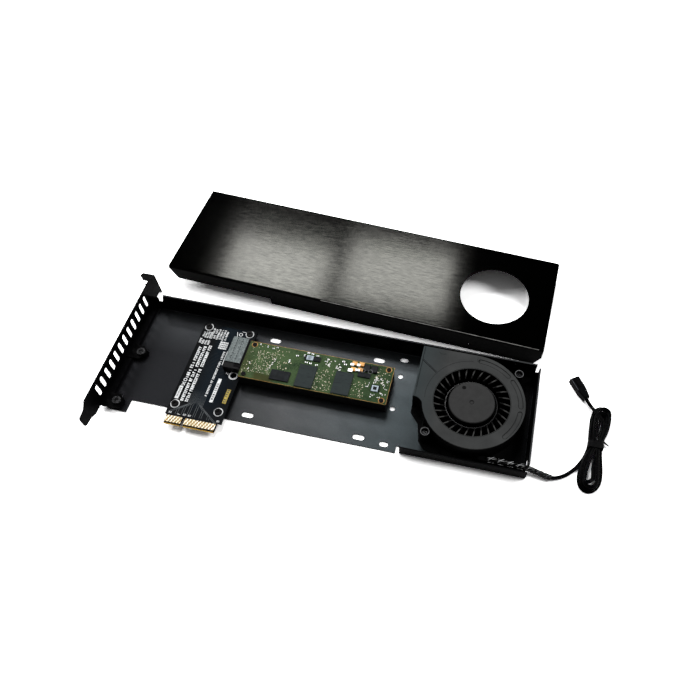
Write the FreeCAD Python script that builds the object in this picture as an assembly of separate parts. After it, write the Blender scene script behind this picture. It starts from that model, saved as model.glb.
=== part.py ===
import FreeCAD, Part
import math
import os

# NVMe drive adapter card for a slot, lying open on a table: a folded tray with an input/output bracket,
# a card-edge adapter board with a long solid-state drive in its socket, a blower at the far end,
# the folded cover taken off and laid behind the tray, and the blower's lead tied up in a hank.
# X runs along the card from the bracket's inner face, Y to the rear, Z up from the tray's floor.
# The finished pieces are moved so that the origin is the bottom centre of the card and its cover.

os.makedirs("parts", exist_ok=True)
Vector = FreeCAD.Vector
X_AXIS = Vector(1, 0, 0)
Y_AXIS = Vector(0, 1, 0)
Z_AXIS = Vector(0, 0, 1)

# ---------------------------------------------------------------- driving dimensions, millimetres

# Folded sheet
sheet = 1.0                 # tray and cover steel
bend = 1.5                  # outer radius of the folds
table = -sheet              # the surface that everything stands on

# Tray
tray_gap = 1.0              # from the bracket's inner face
tray_length = 283.7
tray_depth = 77.6
tray_front = -29.2          # front edge of the floor
wall_height = 17.6          # rear and right walls, from the table
rear_wall_start = 6.4       # from the tray's left edge
rear_wall_slant = 5.0       # how far its end leans
lip_height = 9.6            # front lip beside the blower, from the table
lip_length = 82.6
relief_width = 2.6          # notch in the floor where the lip starts
relief_depth = 5.0
corner_gap = 2.6            # slit between the rear and right walls
corner_slit_start = 7.6
lead_window_depth = 12.2    # way out for the lead through the right wall
lead_window_top = 9.5
wall_front_gap = 2.8        # from the lip to the right wall's front edge
tab_width = 16.0            # floor tab under the bracket's front lug
tab_reach = 9.4
ledge_height = 2.2          # raised edge along the bracket
ledge_width = 3.6
ledge_run = 1.1             # its slope down to the floor
boss_foot_radius = 4.6      # bosses pressed up under the bracket's lugs
boss_top_radius = 4.0
drive_slots_length = 76.6   # floor slots on the two-and-a-half-inch drive pattern
drive_slots_width = 61.72
drive_slot_size = 8.0
drive_slot_width = 3.8
drive_slots_x = 135.3
drive_slots_y = 7.5
spare_x = 191.0             # holes and slots for shorter drives
spare_slot_size = 6.0
spare_slot_width = 3.6
spare_slots_y = 8.7
spare_slots_spacing = 67.0
spare_hole_radius = 1.8
spare_holes_y = 15.4
spare_holes_spacing = 26.2
pin_hole_radius = 0.6
pin_hole_offset = 6.0       # behind the front lug's screw
wall_hole_radius = 0.8
wall_hole_left = 29.2       # small holes near the rear wall's ends
wall_hole_right = 16.9
wall_hole_drop = 2.0

# Bracket, standard full height
plate_width = 18.42
plate_sheet = 0.86
bracket_height = 120.02     # from the top of the flap to the end of the foot
flap_y = 63.1               # outer face of the flap
flap_reach = 11.43
flap_width = 19.05
flap_inset = 2.54           # from the plate's upper edge
flap_corner = 2.5
notch_width = 4.42
notch_depth = 5.4
notch_height = 5.6          # its centre above the plate's lower edge
foot_width = 10.19
foot_rise = 3.2
foot_bevel = 1.2
vent_count = 12
vent_pitch = 6.87
vent_width = 3.3
vent_length = 11.1
vent_first = 43.0
vent_height = 9.65          # centre line above the plate's lower edge
lug_length = 13.0           # lugs that the tray is screwed to
lug_width = 10.6
lug_bevel = 3.4
rear_lug_y = 6.4
front_lug_y = -33.4
lug_screw_x = 9.6
lug_hole = 1.6

# Screws: radius of the thread, radius and height of the head
lug_screw = (lug_hole - 0.05, 2.9, 1.6)
board_screw = (1.2, 2.3, 1.3)
drive_screw = (0.95, 1.6, 0.7)
ear_screw = (1.2, 1.85, 1.2)
screw_clearance = 0.05
fastener_sides = 10         # small round things are drawn with this many flats
cord_sides = 8

# Adapter board
board_left = 45.2
board_width = 39.0
board_front = -36.0
board_depth = 74.6
board_thickness = 1.6
standoff_height = 3.4
standoff_radius = 2.9
rivet_radius = 2.0          # the standoffs' feet, riveted through the floor
hole_inset = 3.9            # fixing holes from the board's left edge
hole_inset_right = 4.8
hole_inset_front = 8.0
hole_inset_rear = 2.5
spare_drill_radius = 1.6
peg_hole_radius = 1.1
tongue_left = 46.75
tongue_width = 34.65        # four-lane card edge
tongue_reach = 6.8
tongue_bevel = 1.2
tongue_bevel_height = 0.45
key_centre = 59.05
key_width = 1.9
contacts_left_of_key = 11
contacts_right_of_key = 21
contact_pitch = 1.0
contact_width = 0.7
contact_length = 4.6
contact_thickness = 0.1
contact_inset = 1.3

# Drive socket
socket_left = 71.9
socket_width = 12.1
socket_front = 3.4
socket_depth = 25.1
socket_height = 6.0
socket_step = 1.1           # lower strip above the drive's edge
socket_step_drop = 0.5
socket_cheek = 1.5          # beside the slot for the drive
socket_insertion = 5.0
edge_clearance = 0.2
cap_thickness = 0.7
cap_front = 7.8
cap_width = 10.95
pit_rows = 9
pit_pitch = 2.05
pit_spacing = 3.6
pit_size = 1.0
pit_depth = 0.4

# Drive
drive_length = 102.6
drive_depth = 29.2
drive_front = -1.7
drive_gap = 0.5             # between the socket and the board's full width
drive_board_thickness = 1.2
drive_rise = 4.8            # underside of the drive's board above the adapter board
drive_screw_inset = 3.5
drive_screw_inset_y = 2.4
support_inset = 0.2         # the block under the drive, in from its edges
support_hole_depth = 4.0

# Parts soldered on the drive: width, depth and height
controller_size = (13.2, 7.6, 1.0)
memory_size = (12.0, 17.4, 1.0)
power_chip_size = (8.6, 3.4, 0.9)
square_chip_size = (6.0, 4.2, 0.9)
clock_chip_size = (6.8, 3.0, 0.8)
capacitor_size = (3.4, 2.6, 1.4)
inductor_size = (4.4, 5.4, 1.6)
inductor_bevel = 0.3

# Blower
blower_inset = 42.1         # axis from the tray's right face
blower_rear_gap = 0.7       # between the spiral wall and the tray's rear wall
blower_front_gap = 3.7      # between the blower's base and the tray's lip
blower_right_gap = 4.2
volute_offset = 0.7         # the spiral reaches this much further to the rear than to the front
volute_growth = 3.3         # gained on the way round to the outlet
tongue_angle = 193.0
rear_angle = 450.0          # where the spiral meets the straight rear wall, one turn past 90 degrees
outlet_length = 39.0        # outlet edge from the axis
cutoff_drop = 3.9           # cut-off of the outlet, below the axis
base_step = 4.1             # base beyond the cut-off
housing_base = 1.2
housing_wall = 1.4
base_corner = 5.0
lid_top = 16.0
lid_thickness = 0.8
tip_gap = 4.2               # between the impeller and the spiral's start
inlet_overlap = 3.4         # the lid covers this much of the blades
blade_count = 29
blade_inner = 18.6
blade_thickness = 0.8
blade_lean = 18.0
hub_radius = 15.3
hub_wall = 1.0
hub_bevel = 0.4
hub_drop = 0.2              # hub's top below the lid's underside
boss_radius = 3.2
carrier_height = 2.2        # carrier disc above the base
carrier_thickness = 0.8
dimple_radius = 1.2
dimple_depth = 0.3
running_gap = 0.8
ear_radius = 3.3            # screw ears
ear_drop = 2.2              # their tops below the lid's underside
ear_seat_depth = 2.8        # counterbore for the screw's head
ear_bore = 2.0
rear_ear_angle = 46.5
rear_ear_gap = 2.2
front_ear_angle = 225.2
front_ear_gap = 0.6
rib_thickness = 0.9
rib_count = 3
rib_pitch = 2.6
recess_depth = 0.3
recess_inner = 5.2          # ring of recesses, out from the inlet's edge
recess_outer = 8.2
groove_width = 0.6
groove_length = 13.6

# Motor
shaft_radius = 1.5
shaft_clearance = 0.03
shaft_foot = 0.4
bearing_radius = 3.6
bearing_height = 9.8
circuit_radius = 12.6
circuit_thickness = 1.2
spacer_radius = 5.2
spacer_height = 1.2
core_radius = 5.6
core_height = 5.4
arm_count = 4
arm_width = 3.2
arm_height = 3.0
shoe_inner = 9.2
shoe_width = 10.8
shoe_height = 4.2
coil_inner = 6.2
coil_outer = 8.6
coil_width = 6.0
coil_height = 5.0
magnet_inner = 12.4
magnet_height = 8.4
magnet_lift = 0.3

# Cover
cover_length = 279.9
cover_width = 82.6
cover_height = 17.885
cover_hole_radius = 24.94
cover_hole_x = 238.2
cover_hole_y = 38.3
cover_turn = -2.98          # degrees, as it was laid down
cover_gap = 25.8            # behind the tray
cover_shift = 5.55
finger_gap_length = 78.0    # shallow stretch of the front skirt, over the card edge
finger_gap_height = 6.1
skirt_slant_left = 7.2
skirt_slant_right = 4.4
skirt_slant_height = 9.0
cover_bevel = 2.0
skirt_hole_radius = 0.9
skirt_hole_inset = 51.7
skirt_hole_height = 5.5

# Wires and lead
wire_radius = 0.7
wire_pitch = 1.4
wire_exit = 15.0            # the wires' way out of the housing, right of the axis
exit_length = 5.0
exit_depth = 3.2
exit_height = 3.6
sleeve_radius = 2.4
lead_radius = 1.2
hank_height = 5.2
hank_bevel = 1.3
tie_width = 4.4
tie_thickness = 0.55
tie_stub_radius = 0.6
tie_stub_length = 7.0
plug_length = 17.3
plug_width = 6.6
plug_height = 5.0
plug_boot_length = 6.5
plug_boot_width = 4.4
plug_bevel = 0.7
plug_rib_height = 0.6
socket_hole = 1.6
socket_hole_pitch = 3.0
socket_hole_depth = 6.0
contact_wall = 0.35
contact_recess = 1.2

# The lead as it lies, on points chosen along it
sleeve_route = [(264.0, -22.7, 3.8), (283.0, -22.9, 3.8), (291.5, -24.0, 2.4), (299.2, -25.6, 1.45)]
lead_route = [(299.2, -25.6, 1.45), (304.3, -24.6, 0.7), (309.8, -21.5, 0.4), (315.0, -16.6, 0.4),
              (319.2, -10.6, 0.4), (322.2, -4.6, 0.6), (324.0, -0.4, 1.2)]
tail_route = [(325.6, 24.4, 1.6), (322.8, 30.4, 1.6), (319.6, 37.8, 1.5)]
waist = (327.7, 3.2)        # middle of the hank, where it is tied
plug_start = (319.6, 37.8)
plug_turn = 123.9

# ---------------------------------------------------------------- places that follow from them

tray_right = tray_gap + tray_length
tray_rear = tray_front + tray_depth
wall_top = table + wall_height
floor_left = tray_gap + ledge_width + ledge_run
lip_left = tray_right - lip_length

bracket_top = ledge_height + plate_width
lug_seat = ledge_height + plate_sheet

board_top = standoff_height + board_thickness
board_right = board_left + board_width
board_rear = board_front + board_depth
screw_bore = board_screw[0] + screw_clearance
socket_right = socket_left + socket_width
socket_rear = socket_front + socket_depth
socket_top = board_top + socket_height

drive_z = board_top + drive_rise
drive_top = drive_z + drive_board_thickness
drive_left = socket_right + drive_gap
drive_right = drive_left + drive_length
drive_rear = drive_front + drive_depth

blower_reach = (tray_depth - 2 * sheet - blower_rear_gap - blower_front_gap) / 2
volute_end = blower_reach + volute_offset
volute_start = volute_end - volute_growth
impeller_radius = volute_start - tip_gap
inlet_radius = impeller_radius - inlet_overlap
blower_x = tray_right - blower_inset
blower_rear = tray_rear - sheet - blower_rear_gap
blower_y = blower_rear - volute_end
blower_front = tray_front + sheet + blower_front_gap
blower_right = tray_right - blower_right_gap
outlet_x = blower_x - outlet_length
lid_z = lid_top - lid_thickness
ear_top = lid_z - ear_drop
ear_seat = ear_top - ear_seat_depth
hub_top = lid_z - hub_drop
blade_top = lid_z - running_gap
disc_bottom = housing_base + carrier_height
disc_top = disc_bottom + carrier_thickness
core_z = housing_base + circuit_thickness + spacer_height
wire_start = blower_x + wire_exit
wires_y = blower_front + exit_depth / 2


# ---------------------------------------------------------------- shared shape functions

def box(x0, y0, z0, x1, y1, z1):
    return Part.makeBox(x1 - x0, y1 - y0, z1 - z0, Vector(x0, y0, z0))


def disc(x, y, z, radius, height):
    return Part.makeCylinder(radius, height, Vector(x, y, z))


def ring(x, y, z, outer, inner, height):
    return disc(x, y, z, outer, height).cut(disc(x, y, z, inner, height))


def filled(corners):
    return Part.Face(Part.makePolygon(corners + corners[:1]))


def prism(points, z, height):
    return filled([Vector(x, y, z) for x, y in points]).extrude(Vector(0, 0, height))


def many_sided(x, y, radius, z):
    """Corners of the flat-sided outline that small round things are drawn with."""
    corners = []
    for index in range(fastener_sides):
        angle = 2 * math.pi * index / fastener_sides
        corners.append(Vector(x + radius * math.cos(angle), y + radius * math.sin(angle), z))
    return corners


def post(x, y, z, radius, height):
    return filled(many_sided(x, y, radius, z)).extrude(Vector(0, 0, height))


def collar(x, y, z, outer, inner, height):
    return post(x, y, z, outer, height).cut(post(x, y, z, inner, height))


def slot(x, y, length, width, z, height):
    """Upright cutter for a slot with round ends, long along X."""
    reach = (length - width) / 2
    bar = box(x - reach, y - width / 2, z, x + reach, y + width / 2, z + height)
    ends = [disc(x + side * reach, y, z, width / 2, height) for side in (-1, 1)]
    return bar.multiFuse(ends).removeSplitter()


def plain_slot(x, y, length, width, z, height):
    """The same with flat-sided ends."""
    reach = (length - width) / 2
    flats = fastener_sides // 2
    left = []
    for index in range(flats + 1):
        angle = math.pi * (0.5 + index / flats)
        left.append((x - reach + width / 2 * math.cos(angle), y + width / 2 * math.sin(angle)))
    right = [(2 * x - px, 2 * y - py) for px, py in left]
    return prism(left + right, z, height)


def join(shapes):
    return shapes[0].multiFuse(shapes[1:]).removeSplitter() if len(shapes) > 1 else shapes[0]


def group(shapes):
    return Part.makeCompound(shapes)


def flange(length, height):
    """Wall folded up from a floor: along +X from 0, outer face at Y = 0, underside at Z = 0."""
    middle = bend * math.sqrt(0.5)
    inner = bend - sheet
    inner_middle = inner * math.sqrt(0.5)
    outside = Part.Arc(Vector(0, -bend, 0), Vector(0, middle - bend, bend - middle), Vector(0, 0, bend))
    inside = Part.Arc(Vector(0, -sheet, bend), Vector(0, inner_middle - bend, bend - inner_middle),
                      Vector(0, -bend, sheet))
    edges = [
        outside.toShape(),
        Part.makeLine(Vector(0, 0, bend), Vector(0, 0, height)),
        Part.makeLine(Vector(0, 0, height), Vector(0, -sheet, height)),
        Part.makeLine(Vector(0, -sheet, height), Vector(0, -sheet, bend)),
        inside.toShape(),
        Part.makeLine(Vector(0, -bend, sheet), Vector(0, -bend, 0)),
    ]
    return Part.Face(Part.Wire(edges)).extrude(Vector(length, 0, 0))


def placed(shape, x, y, z, turn=0.0):
    moved = shape.copy()
    moved.rotate(Vector(0, 0, 0), Z_AXIS, turn)
    moved.translate(Vector(x, y, z))
    return moved


def cross_screw(x, y, seat, size, length):
    """Cross-head screw whose head sits on the plane z = seat."""
    thread_radius, head_radius, head_height = size
    head = post(x, y, seat, head_radius, head_height)
    thread = post(x, y, seat - length, thread_radius, length)
    half = head_radius * 0.55
    arm = head_radius * 0.16
    floor = seat + head_height * 0.45
    top = seat + head_height
    cross = box(x - half, y - arm, floor, x + half, y + arm, top)
    cross = cross.fuse(box(x - arm, y - half, floor, x + arm, y + half, top))
    return head.fuse(thread).cut(cross).removeSplitter()


def cord_section(start, run, radius):
    """Outline of a cord's tube, square to its first run."""
    side = run.cross(Z_AXIS).normalize()
    upward = side.cross(run).normalize()
    corners = []
    for index in range(cord_sides):
        angle = 2 * math.pi * index / cord_sides
        corners.append(start + side * (radius * math.cos(angle)) + upward * (radius * math.sin(angle)))
    return Part.makePolygon(corners + corners[:1])


def cord_tube(points, radius, name):
    """Tube along straight runs that are joined by arcs as large as the runs allow."""
    route = [Vector(*point) for point in points]
    edges = []
    start = route[0]
    for before, corner, after in zip(route, route[1:], route[2:]):
        run_in = corner - before
        run_out = after - corner
        turn = run_in.getAngle(run_out)
        setback = 0.45 * min(run_in.Length, run_out.Length)
        arc_radius = setback / math.tan(turn / 2)
        first = corner - Vector(run_in).normalize() * setback
        last = corner + Vector(run_out).normalize() * setback
        inward = (Vector(run_out).normalize() - Vector(run_in).normalize()).normalize()
        apex = corner + inward * (arc_radius / math.cos(turn / 2) - arc_radius)
        edges.append(Part.LineSegment(start, first).toShape())
        edges.append(Part.Arc(first, apex, last).toShape())
        start = last
        diameters = arc_radius / (2 * radius)
        print(name, "bend radius", round(arc_radius, 1), "of", round(diameters, 1), "diameters")
    edges.append(Part.LineSegment(start, route[-1]).toShape())
    path = Part.Wire(edges)
    section = cord_section(route[0], route[1] - route[0], radius)
    tube = path.makePipeShell([section], True, False)
    expected = Part.Face(section).Area * path.Length
    print(name, "length", round(path.Length, 1), "volume ratio", round(tube.Volume / expected, 4))
    return tube


# ---------------------------------------------------------------- tray

def board_holes():
    left = board_left + hole_inset
    right = board_right - hole_inset_right
    front = board_front + hole_inset_front
    rear = board_rear - hole_inset_rear
    return [(left, front), (right, front), (left, rear), (right, rear)]


def tray_floor():
    """Flat floor, with the tab under the front lug and the relief notch where the lip starts."""
    outline = [
        (floor_left, tray_front - tab_reach),
        (tray_gap + tab_width, tray_front - tab_reach),
        (tray_gap + tab_width, tray_front),
        (lip_left - relief_width, tray_front),
        (lip_left - relief_width, tray_front + relief_depth),
        (lip_left, tray_front + relief_depth),
        (lip_left, tray_front + bend),
        (tray_right - bend, tray_front + bend),
        (tray_right - bend, tray_rear - bend),
        (floor_left, tray_rear - bend),
    ]
    return prism(outline, table, sheet)


def tray_ledge():
    """Left edge, set up in a step so that the bracket's lugs lie on it."""
    crest = tray_gap + ledge_width
    outline = [
        (tray_gap, ledge_height), (crest, ledge_height), (floor_left, 0), (floor_left + sheet, 0),
        (floor_left + sheet, table), (floor_left - sheet / 2, table),
        (crest - sheet / 2, ledge_height - sheet), (tray_gap, ledge_height - sheet),
    ]
    front = tray_front - tab_reach
    run = Vector(0, tray_depth + tab_reach - bend, 0)
    return filled([Vector(x, front, z) for x, z in outline]).extrude(run)


def tray_rear_wall():
    """Rear wall, whose left end leans."""
    left = tray_gap + rear_wall_start
    wall = placed(flange(tray_right - left, wall_height), left, tray_rear, table)
    beyond = left - 1
    corners = [Vector(beyond, 0, table), Vector(left, 0, table + bend),
               Vector(left + rear_wall_slant, 0, wall_top), Vector(beyond, 0, wall_top)]
    end = filled(corners).extrude(Vector(0, 2 * bend, 0))
    end.translate(Vector(0, tray_rear - 1.5 * bend, 0))
    return wall.cut(end)


def floor_openings():
    """Cutters for the slots and holes in the floor and the rear wall."""
    low = table - 1
    height = sheet + 2
    cutters = []
    for side in (-0.5, 0.5):
        for end in (-0.5, 0.5):
            x = drive_slots_x + end * drive_slots_length
            y = drive_slots_y + side * drive_slots_width
            cutters.append(slot(x, y, drive_slot_size, drive_slot_width, low, height))
        y = spare_slots_y + side * spare_slots_spacing
        cutters.append(plain_slot(spare_x, y, spare_slot_size, spare_slot_width, low, height))
        y = spare_holes_y + side * spare_holes_spacing
        cutters.append(disc(spare_x, y, low, spare_hole_radius, height))
    cutters.append(post(lug_screw_x, front_lug_y + pin_hole_offset, low, pin_hole_radius, height))
    for x, y in board_holes():
        cutters.append(post(x, y, table, rivet_radius, sheet))
    for x, drop in ((wall_hole_left, wall_hole_drop), (tray_right - wall_hole_right, 1.8 * wall_hole_drop)):
        hole = post(0, 0, 0, wall_hole_radius, 3 * sheet)
        hole.rotate(Vector(0, 0, 0), X_AXIS, -90)
        hole.translate(Vector(x, tray_rear - 2 * sheet, wall_top - drop))
        cutters.append(hole)
    return cutters


def make_tray():
    """One folded sheet: floor, rear and right walls, a front lip beside the blower and a raised left edge."""
    lip = placed(flange(lip_length, lip_height), tray_right, tray_front, table, 180)
    right = placed(flange(tray_depth - 2 * bend, wall_height), tray_right, tray_rear - bend, table, -90)
    tray = join([tray_floor(), tray_rear_wall(), lip, right, tray_ledge()])

    beyond = tray_right + 1
    above = wall_top + 1
    ahead = tray_front - 1
    slit = box(tray_right - corner_gap, tray_rear - 2 * bend, table + corner_slit_start,
               beyond, tray_rear + 1, above)
    window = box(tray_right - 2 * bend, ahead, 0, beyond, tray_front + lead_window_depth, lead_window_top)
    wall_end = box(tray_right - 1.2 * sheet, ahead, lead_window_top,
                   beyond, tray_front + wall_front_gap, above)
    lip_keep = box(lip_left, tray_front, table, tray_right, tray_front + sheet, table + lip_height)
    tray = tray.cut(slit).cut(window.fuse(wall_end).cut(lip_keep))

    for y in (rear_lug_y, front_lug_y):
        rims = []
        for radius, z in ((boss_foot_radius, 0), (boss_top_radius, ledge_height)):
            corners = many_sided(lug_screw_x, y, radius, z)
            rims.append(Part.makePolygon(corners + corners[:1]))
        tray = tray.fuse(Part.makeLoft(rims, True, True))
        tray = tray.cut(post(lug_screw_x, y, table, lug_hole, sheet + ledge_height))
    return tray.cut(floor_openings()).removeSplitter()


# ---------------------------------------------------------------- bracket

def bracket_plate():
    """Slotted plate that narrows to the foot, with a bevelled corner beside the flap."""
    bottom = ledge_height
    foot_end = flap_y - bracket_height
    foot_low = bottom + foot_rise
    foot_high = foot_low + foot_width
    flap_top = bracket_top - flap_inset
    outline = [
        (flap_y, bottom), (flap_y, flap_top), (flap_y - plate_sheet, flap_top), (flap_y - 6.0, bracket_top),
        (foot_end + 11.2, bracket_top), (foot_end + 7.0, bracket_top - 4.2),
        (foot_end + foot_bevel, foot_high), (foot_end, foot_high - foot_bevel),
        (foot_end, foot_low + foot_bevel), (foot_end + foot_bevel, foot_low),
        (foot_end + 7.1, foot_low - 0.6), (foot_end + 11.6, bottom),
    ]
    plate = filled([Vector(-plate_sheet, y, z) for y, z in outline]).extrude(Vector(plate_sheet, 0, 0))
    vents = []
    for index in range(vent_count):
        vent = plain_slot(0, 0, vent_length, vent_width, 0, plate_sheet + 2)
        vent.rotate(Vector(0, 0, 0), Y_AXIS, -90)
        vent.translate(Vector(1, vent_first - index * vent_pitch, bottom + vent_height))
        vents.append(vent)
    return plate.cut(vents)


def bracket_flap():
    """Screw flap folded outwards from the plate's rear end, with its open notch."""
    top = bracket_top - flap_inset
    flap = box(-flap_reach, flap_y - plate_sheet, top - flap_width, 0, flap_y, top)
    outer_edges = [edge for edge in flap.Edges
                   if abs(edge.CenterOfMass.x + flap_reach) < 0.01 and abs(edge.Length - plate_sheet) < 0.01]
    flap = flap.makeChamfer(flap_corner, outer_edges)
    notch_z = ledge_height + notch_height
    notch_x = notch_depth - notch_width / 2 - flap_reach
    half = notch_width / 2
    low_y = flap_y - 2 * plate_sheet
    high_y = flap_y + plate_sheet
    notch = box(-flap_reach - 1, low_y, notch_z - half, notch_x, high_y, notch_z + half)
    round_end = Part.makeCylinder(half, high_y - low_y, Vector(notch_x, low_y, notch_z), Y_AXIS)
    return flap.cut(notch.fuse(round_end))


def make_bracket():
    """Standard slot bracket: slotted plate, screw flap, narrow foot and two lugs for the tray."""
    pieces = [bracket_plate(), bracket_flap()]
    bevel_x = lug_length - lug_bevel
    half = lug_width / 2
    for y in (rear_lug_y, front_lug_y):
        shape = [(-plate_sheet, y - half), (bevel_x, y - half), (lug_length, y - half + lug_bevel),
                 (lug_length, y + half - lug_bevel), (bevel_x, y + half), (-plate_sheet, y + half)]
        lug = prism(shape, ledge_height, plate_sheet)
        pieces.append(lug.cut(post(lug_screw_x, y, ledge_height, lug_hole, plate_sheet)))
    return join(pieces)


def make_bracket_screws():
    places = [(lug_screw_x, rear_lug_y), (lug_screw_x, front_lug_y)]
    return group([cross_screw(x, y, lug_seat, lug_screw, lug_seat - table) for x, y in places])


# ---------------------------------------------------------------- adapter board

def make_adapter_board():
    """Printed board with a bevelled, keyed card edge, its fixing holes and the socket's peg hole."""
    edge = board_front - tongue_reach
    board = box(board_left, board_front, standoff_height, board_right, board_rear, board_top)
    bottom = standoff_height
    root = board_front + 1
    side = [(root, bottom), (edge + tongue_bevel, bottom), (edge, bottom + tongue_bevel_height),
            (edge, board_top - tongue_bevel_height), (edge + tongue_bevel, board_top), (root, board_top)]
    tongue = filled([Vector(tongue_left, y, z) for y, z in side]).extrude(Vector(tongue_width, 0, 0))
    half = key_width / 2
    key_end = board_front - 1 - half
    key = box(key_centre - half, edge - 1, bottom - 1, key_centre + half, key_end, board_top + 1)
    key = key.fuse(post(key_centre, key_end, bottom - 1, half, board_thickness + 2))
    drills = [key]
    drills += [post(x, y, bottom, screw_bore, board_thickness) for x, y in board_holes()]
    for x, y, radius in ((board_right - hole_inset_right, drive_front + 2.7, spare_drill_radius),
                         (socket_left - 5.3, socket_rear - 2.6, peg_hole_radius)):
        drills.append(post(x, y, bottom, radius, board_thickness))
    return board.fuse(tongue).cut(drills).removeSplitter()


def make_edge_contacts():
    """Gold pads on both faces of the card edge, on the card's pitch, none over the key notch."""
    pads = []
    front = board_front - tongue_reach + contact_inset
    for step in range(-contacts_left_of_key, contacts_right_of_key + 2):
        x = key_centre + (step - 0.5) * contact_pitch
        if abs(x - key_centre) < (key_width + contact_width) / 2:
            continue
        left = x - contact_width / 2
        for z in (board_top, standoff_height - contact_thickness):
            rear = front + contact_length
            pads.append(box(left, front, z, left + contact_width, rear, z + contact_thickness))
    return group(pads)


def make_board_standoffs():
    """Short posts with a foot riveted through the tray's floor and a bore for the screw."""
    posts = []
    for x, y in board_holes():
        body = post(x, y, 0, standoff_radius, standoff_height).fuse(post(x, y, table, rivet_radius, sheet))
        posts.append(body.cut(post(x, y, table, screw_bore, sheet + standoff_height)))
    return group(posts)


def make_board_screws():
    length = board_thickness + standoff_height
    return group([cross_screw(x, y, board_top, board_screw, length) for x, y in board_holes()])


# ---------------------------------------------------------------- drive socket

def make_socket():
    """Black moulded socket with a slot for the drive's edge."""
    body = box(socket_left, socket_front, board_top, socket_right, socket_rear, socket_top)
    beyond = socket_right + 1
    mouth = box(socket_right - socket_insertion, socket_front + socket_cheek, drive_z, beyond,
                socket_rear - socket_cheek, drive_top)
    step = box(socket_right - socket_step, socket_front - 1, socket_top - socket_step_drop,
               beyond, socket_rear + 1, socket_top + 1)
    return body.cut(mouth).cut(step)


def make_socket_cap():
    """Pale cap on the socket, with shallow pits where the contacts' tails are."""
    top = socket_top + cap_thickness
    cap = box(socket_left, cap_front, socket_top, socket_left + cap_width, socket_rear, top)
    pits = []
    for row in range(pit_rows):
        for column in range(2):
            x = socket_left + (column + 0.85) * pit_spacing
            y = cap_front + (row + 1.1) * pit_pitch
            pits.append(box(x, y, top - pit_depth, x + pit_size, y + pit_size, top + 1))
    return cap.cut(pits)


# ---------------------------------------------------------------- drive

def drive_screw_places():
    left = drive_left + drive_screw_inset
    right = drive_right - drive_screw_inset
    front = drive_front + drive_screw_inset_y
    rear = drive_rear - drive_screw_inset_y
    return [(left, rear), (left, front), (right, rear), (right, front)]


def make_drive_board():
    """The drive's board: full width outside the socket, a narrower edge inside it."""
    inset = socket_cheek + edge_clearance
    plate = box(drive_left, drive_front, drive_z, drive_right, drive_rear, drive_top)
    plug = box(socket_right - socket_insertion, socket_front + inset, drive_z, drive_left + 1,
               socket_rear - inset, drive_top)
    bore = drive_screw[0] + screw_clearance
    drills = [post(x, y, drive_z, bore, drive_board_thickness) for x, y in drive_screw_places()]
    return plate.fuse(plug).removeSplitter().cut(drills)


def make_drive_support():
    """Black block that fills the height between the floor and the drive."""
    block = box(drive_left, drive_front + support_inset, 0, drive_right - support_inset,
                drive_rear - support_inset, drive_z)
    bore = drive_screw[0] + screw_clearance
    floor = drive_z - support_hole_depth
    return block.cut([post(x, y, floor, bore, support_hole_depth) for x, y in drive_screw_places()])


def make_drive_screws():
    length = drive_board_thickness + support_hole_depth - 2 * edge_clearance
    return group([cross_screw(x, y, drive_top, drive_screw, length) for x, y in drive_screw_places()])


def on_drive(along, across, size):
    """Part soldered on the drive, its near left corner at these shares of the board's length and depth."""
    width, depth, height = size
    left = drive_left + along * drive_length
    front = drive_front + across * drive_depth
    return box(left, front, drive_top, left + width, front + depth, drive_top + height)


def make_controller_chip():
    return on_drive(0.209, 0.079, controller_size)


def make_memory_chips():
    return group([on_drive(along, 0.026, memory_size) for along in (0.382, 0.630)])


def make_power_chips():
    return group([on_drive(0.772, 0.586, power_chip_size), on_drive(0.879, 0.301, square_chip_size),
                  on_drive(0.392, 0.781, clock_chip_size)])


def make_drive_capacitors():
    places = [(0.717, 0.863), (0.764, 0.870), (0.717, 0.699), (0.764, 0.719)]
    return group([on_drive(along, across, capacitor_size) for along, across in places])


def make_drive_inductors():
    coils = []
    for along in (0.799, 0.850):
        block = on_drive(along, 0.747, inductor_size)
        top = drive_top + inductor_size[2]
        top_edges = [edge for edge in block.Edges if abs(edge.CenterOfMass.z - top) < 0.01]
        coils.append(block.makeChamfer(inductor_bevel, top_edges))
    return group(coils)


# ---------------------------------------------------------------- blower

def around(radius, degrees, z=0.0):
    angle = math.radians(degrees)
    return Vector(blower_x + radius * math.cos(angle), blower_y + radius * math.sin(angle), z)


def volute_radius(degrees, inset=0.0):
    share = (degrees - tongue_angle) / (rear_angle - tongue_angle)
    return volute_start + volute_growth * share - inset


def volute_wire(z, inset, mouth):
    """Closed outline of the spiral: round from the cut-off to the rear, straight to the outlet and back."""
    arcs = 5
    sweep = (rear_angle - tongue_angle) / arcs
    edges = []
    for index in range(arcs):
        angles = [tongue_angle + sweep * (index + part) for part in (0, 0.5, 1)]
        first, middle, last = [around(volute_radius(angle, inset), angle, z) for angle in angles]
        edges.append(Part.Arc(first, middle, last).toShape())
    start = around(volute_radius(tongue_angle, inset), tongue_angle, z)
    rear = Vector(blower_x, blower_rear - inset, z)
    corner = Vector(outlet_x - mouth, blower_rear - inset, z)
    cutoff = Vector(outlet_x - mouth, blower_y - cutoff_drop + inset, z)
    lower = Vector(outlet_x + 0.5, blower_y - cutoff_drop + inset, z)
    shoulder = (lower + start) * 0.5 + Vector(0.75, 0.75, 0)
    edges.append(Part.makeLine(rear, corner))
    edges.append(Part.makeLine(corner, cutoff))
    edges.append(Part.makeLine(cutoff, lower))
    edges.append(Part.Arc(lower, shoulder, start).toShape())
    return Part.Wire(edges)


def ear_places():
    rear = around(volute_radius(rear_ear_angle + 360) + ear_radius + rear_ear_gap, rear_ear_angle)
    front = around(volute_radius(front_ear_angle) + ear_radius + front_ear_gap, front_ear_angle)
    return [rear, front]


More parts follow.
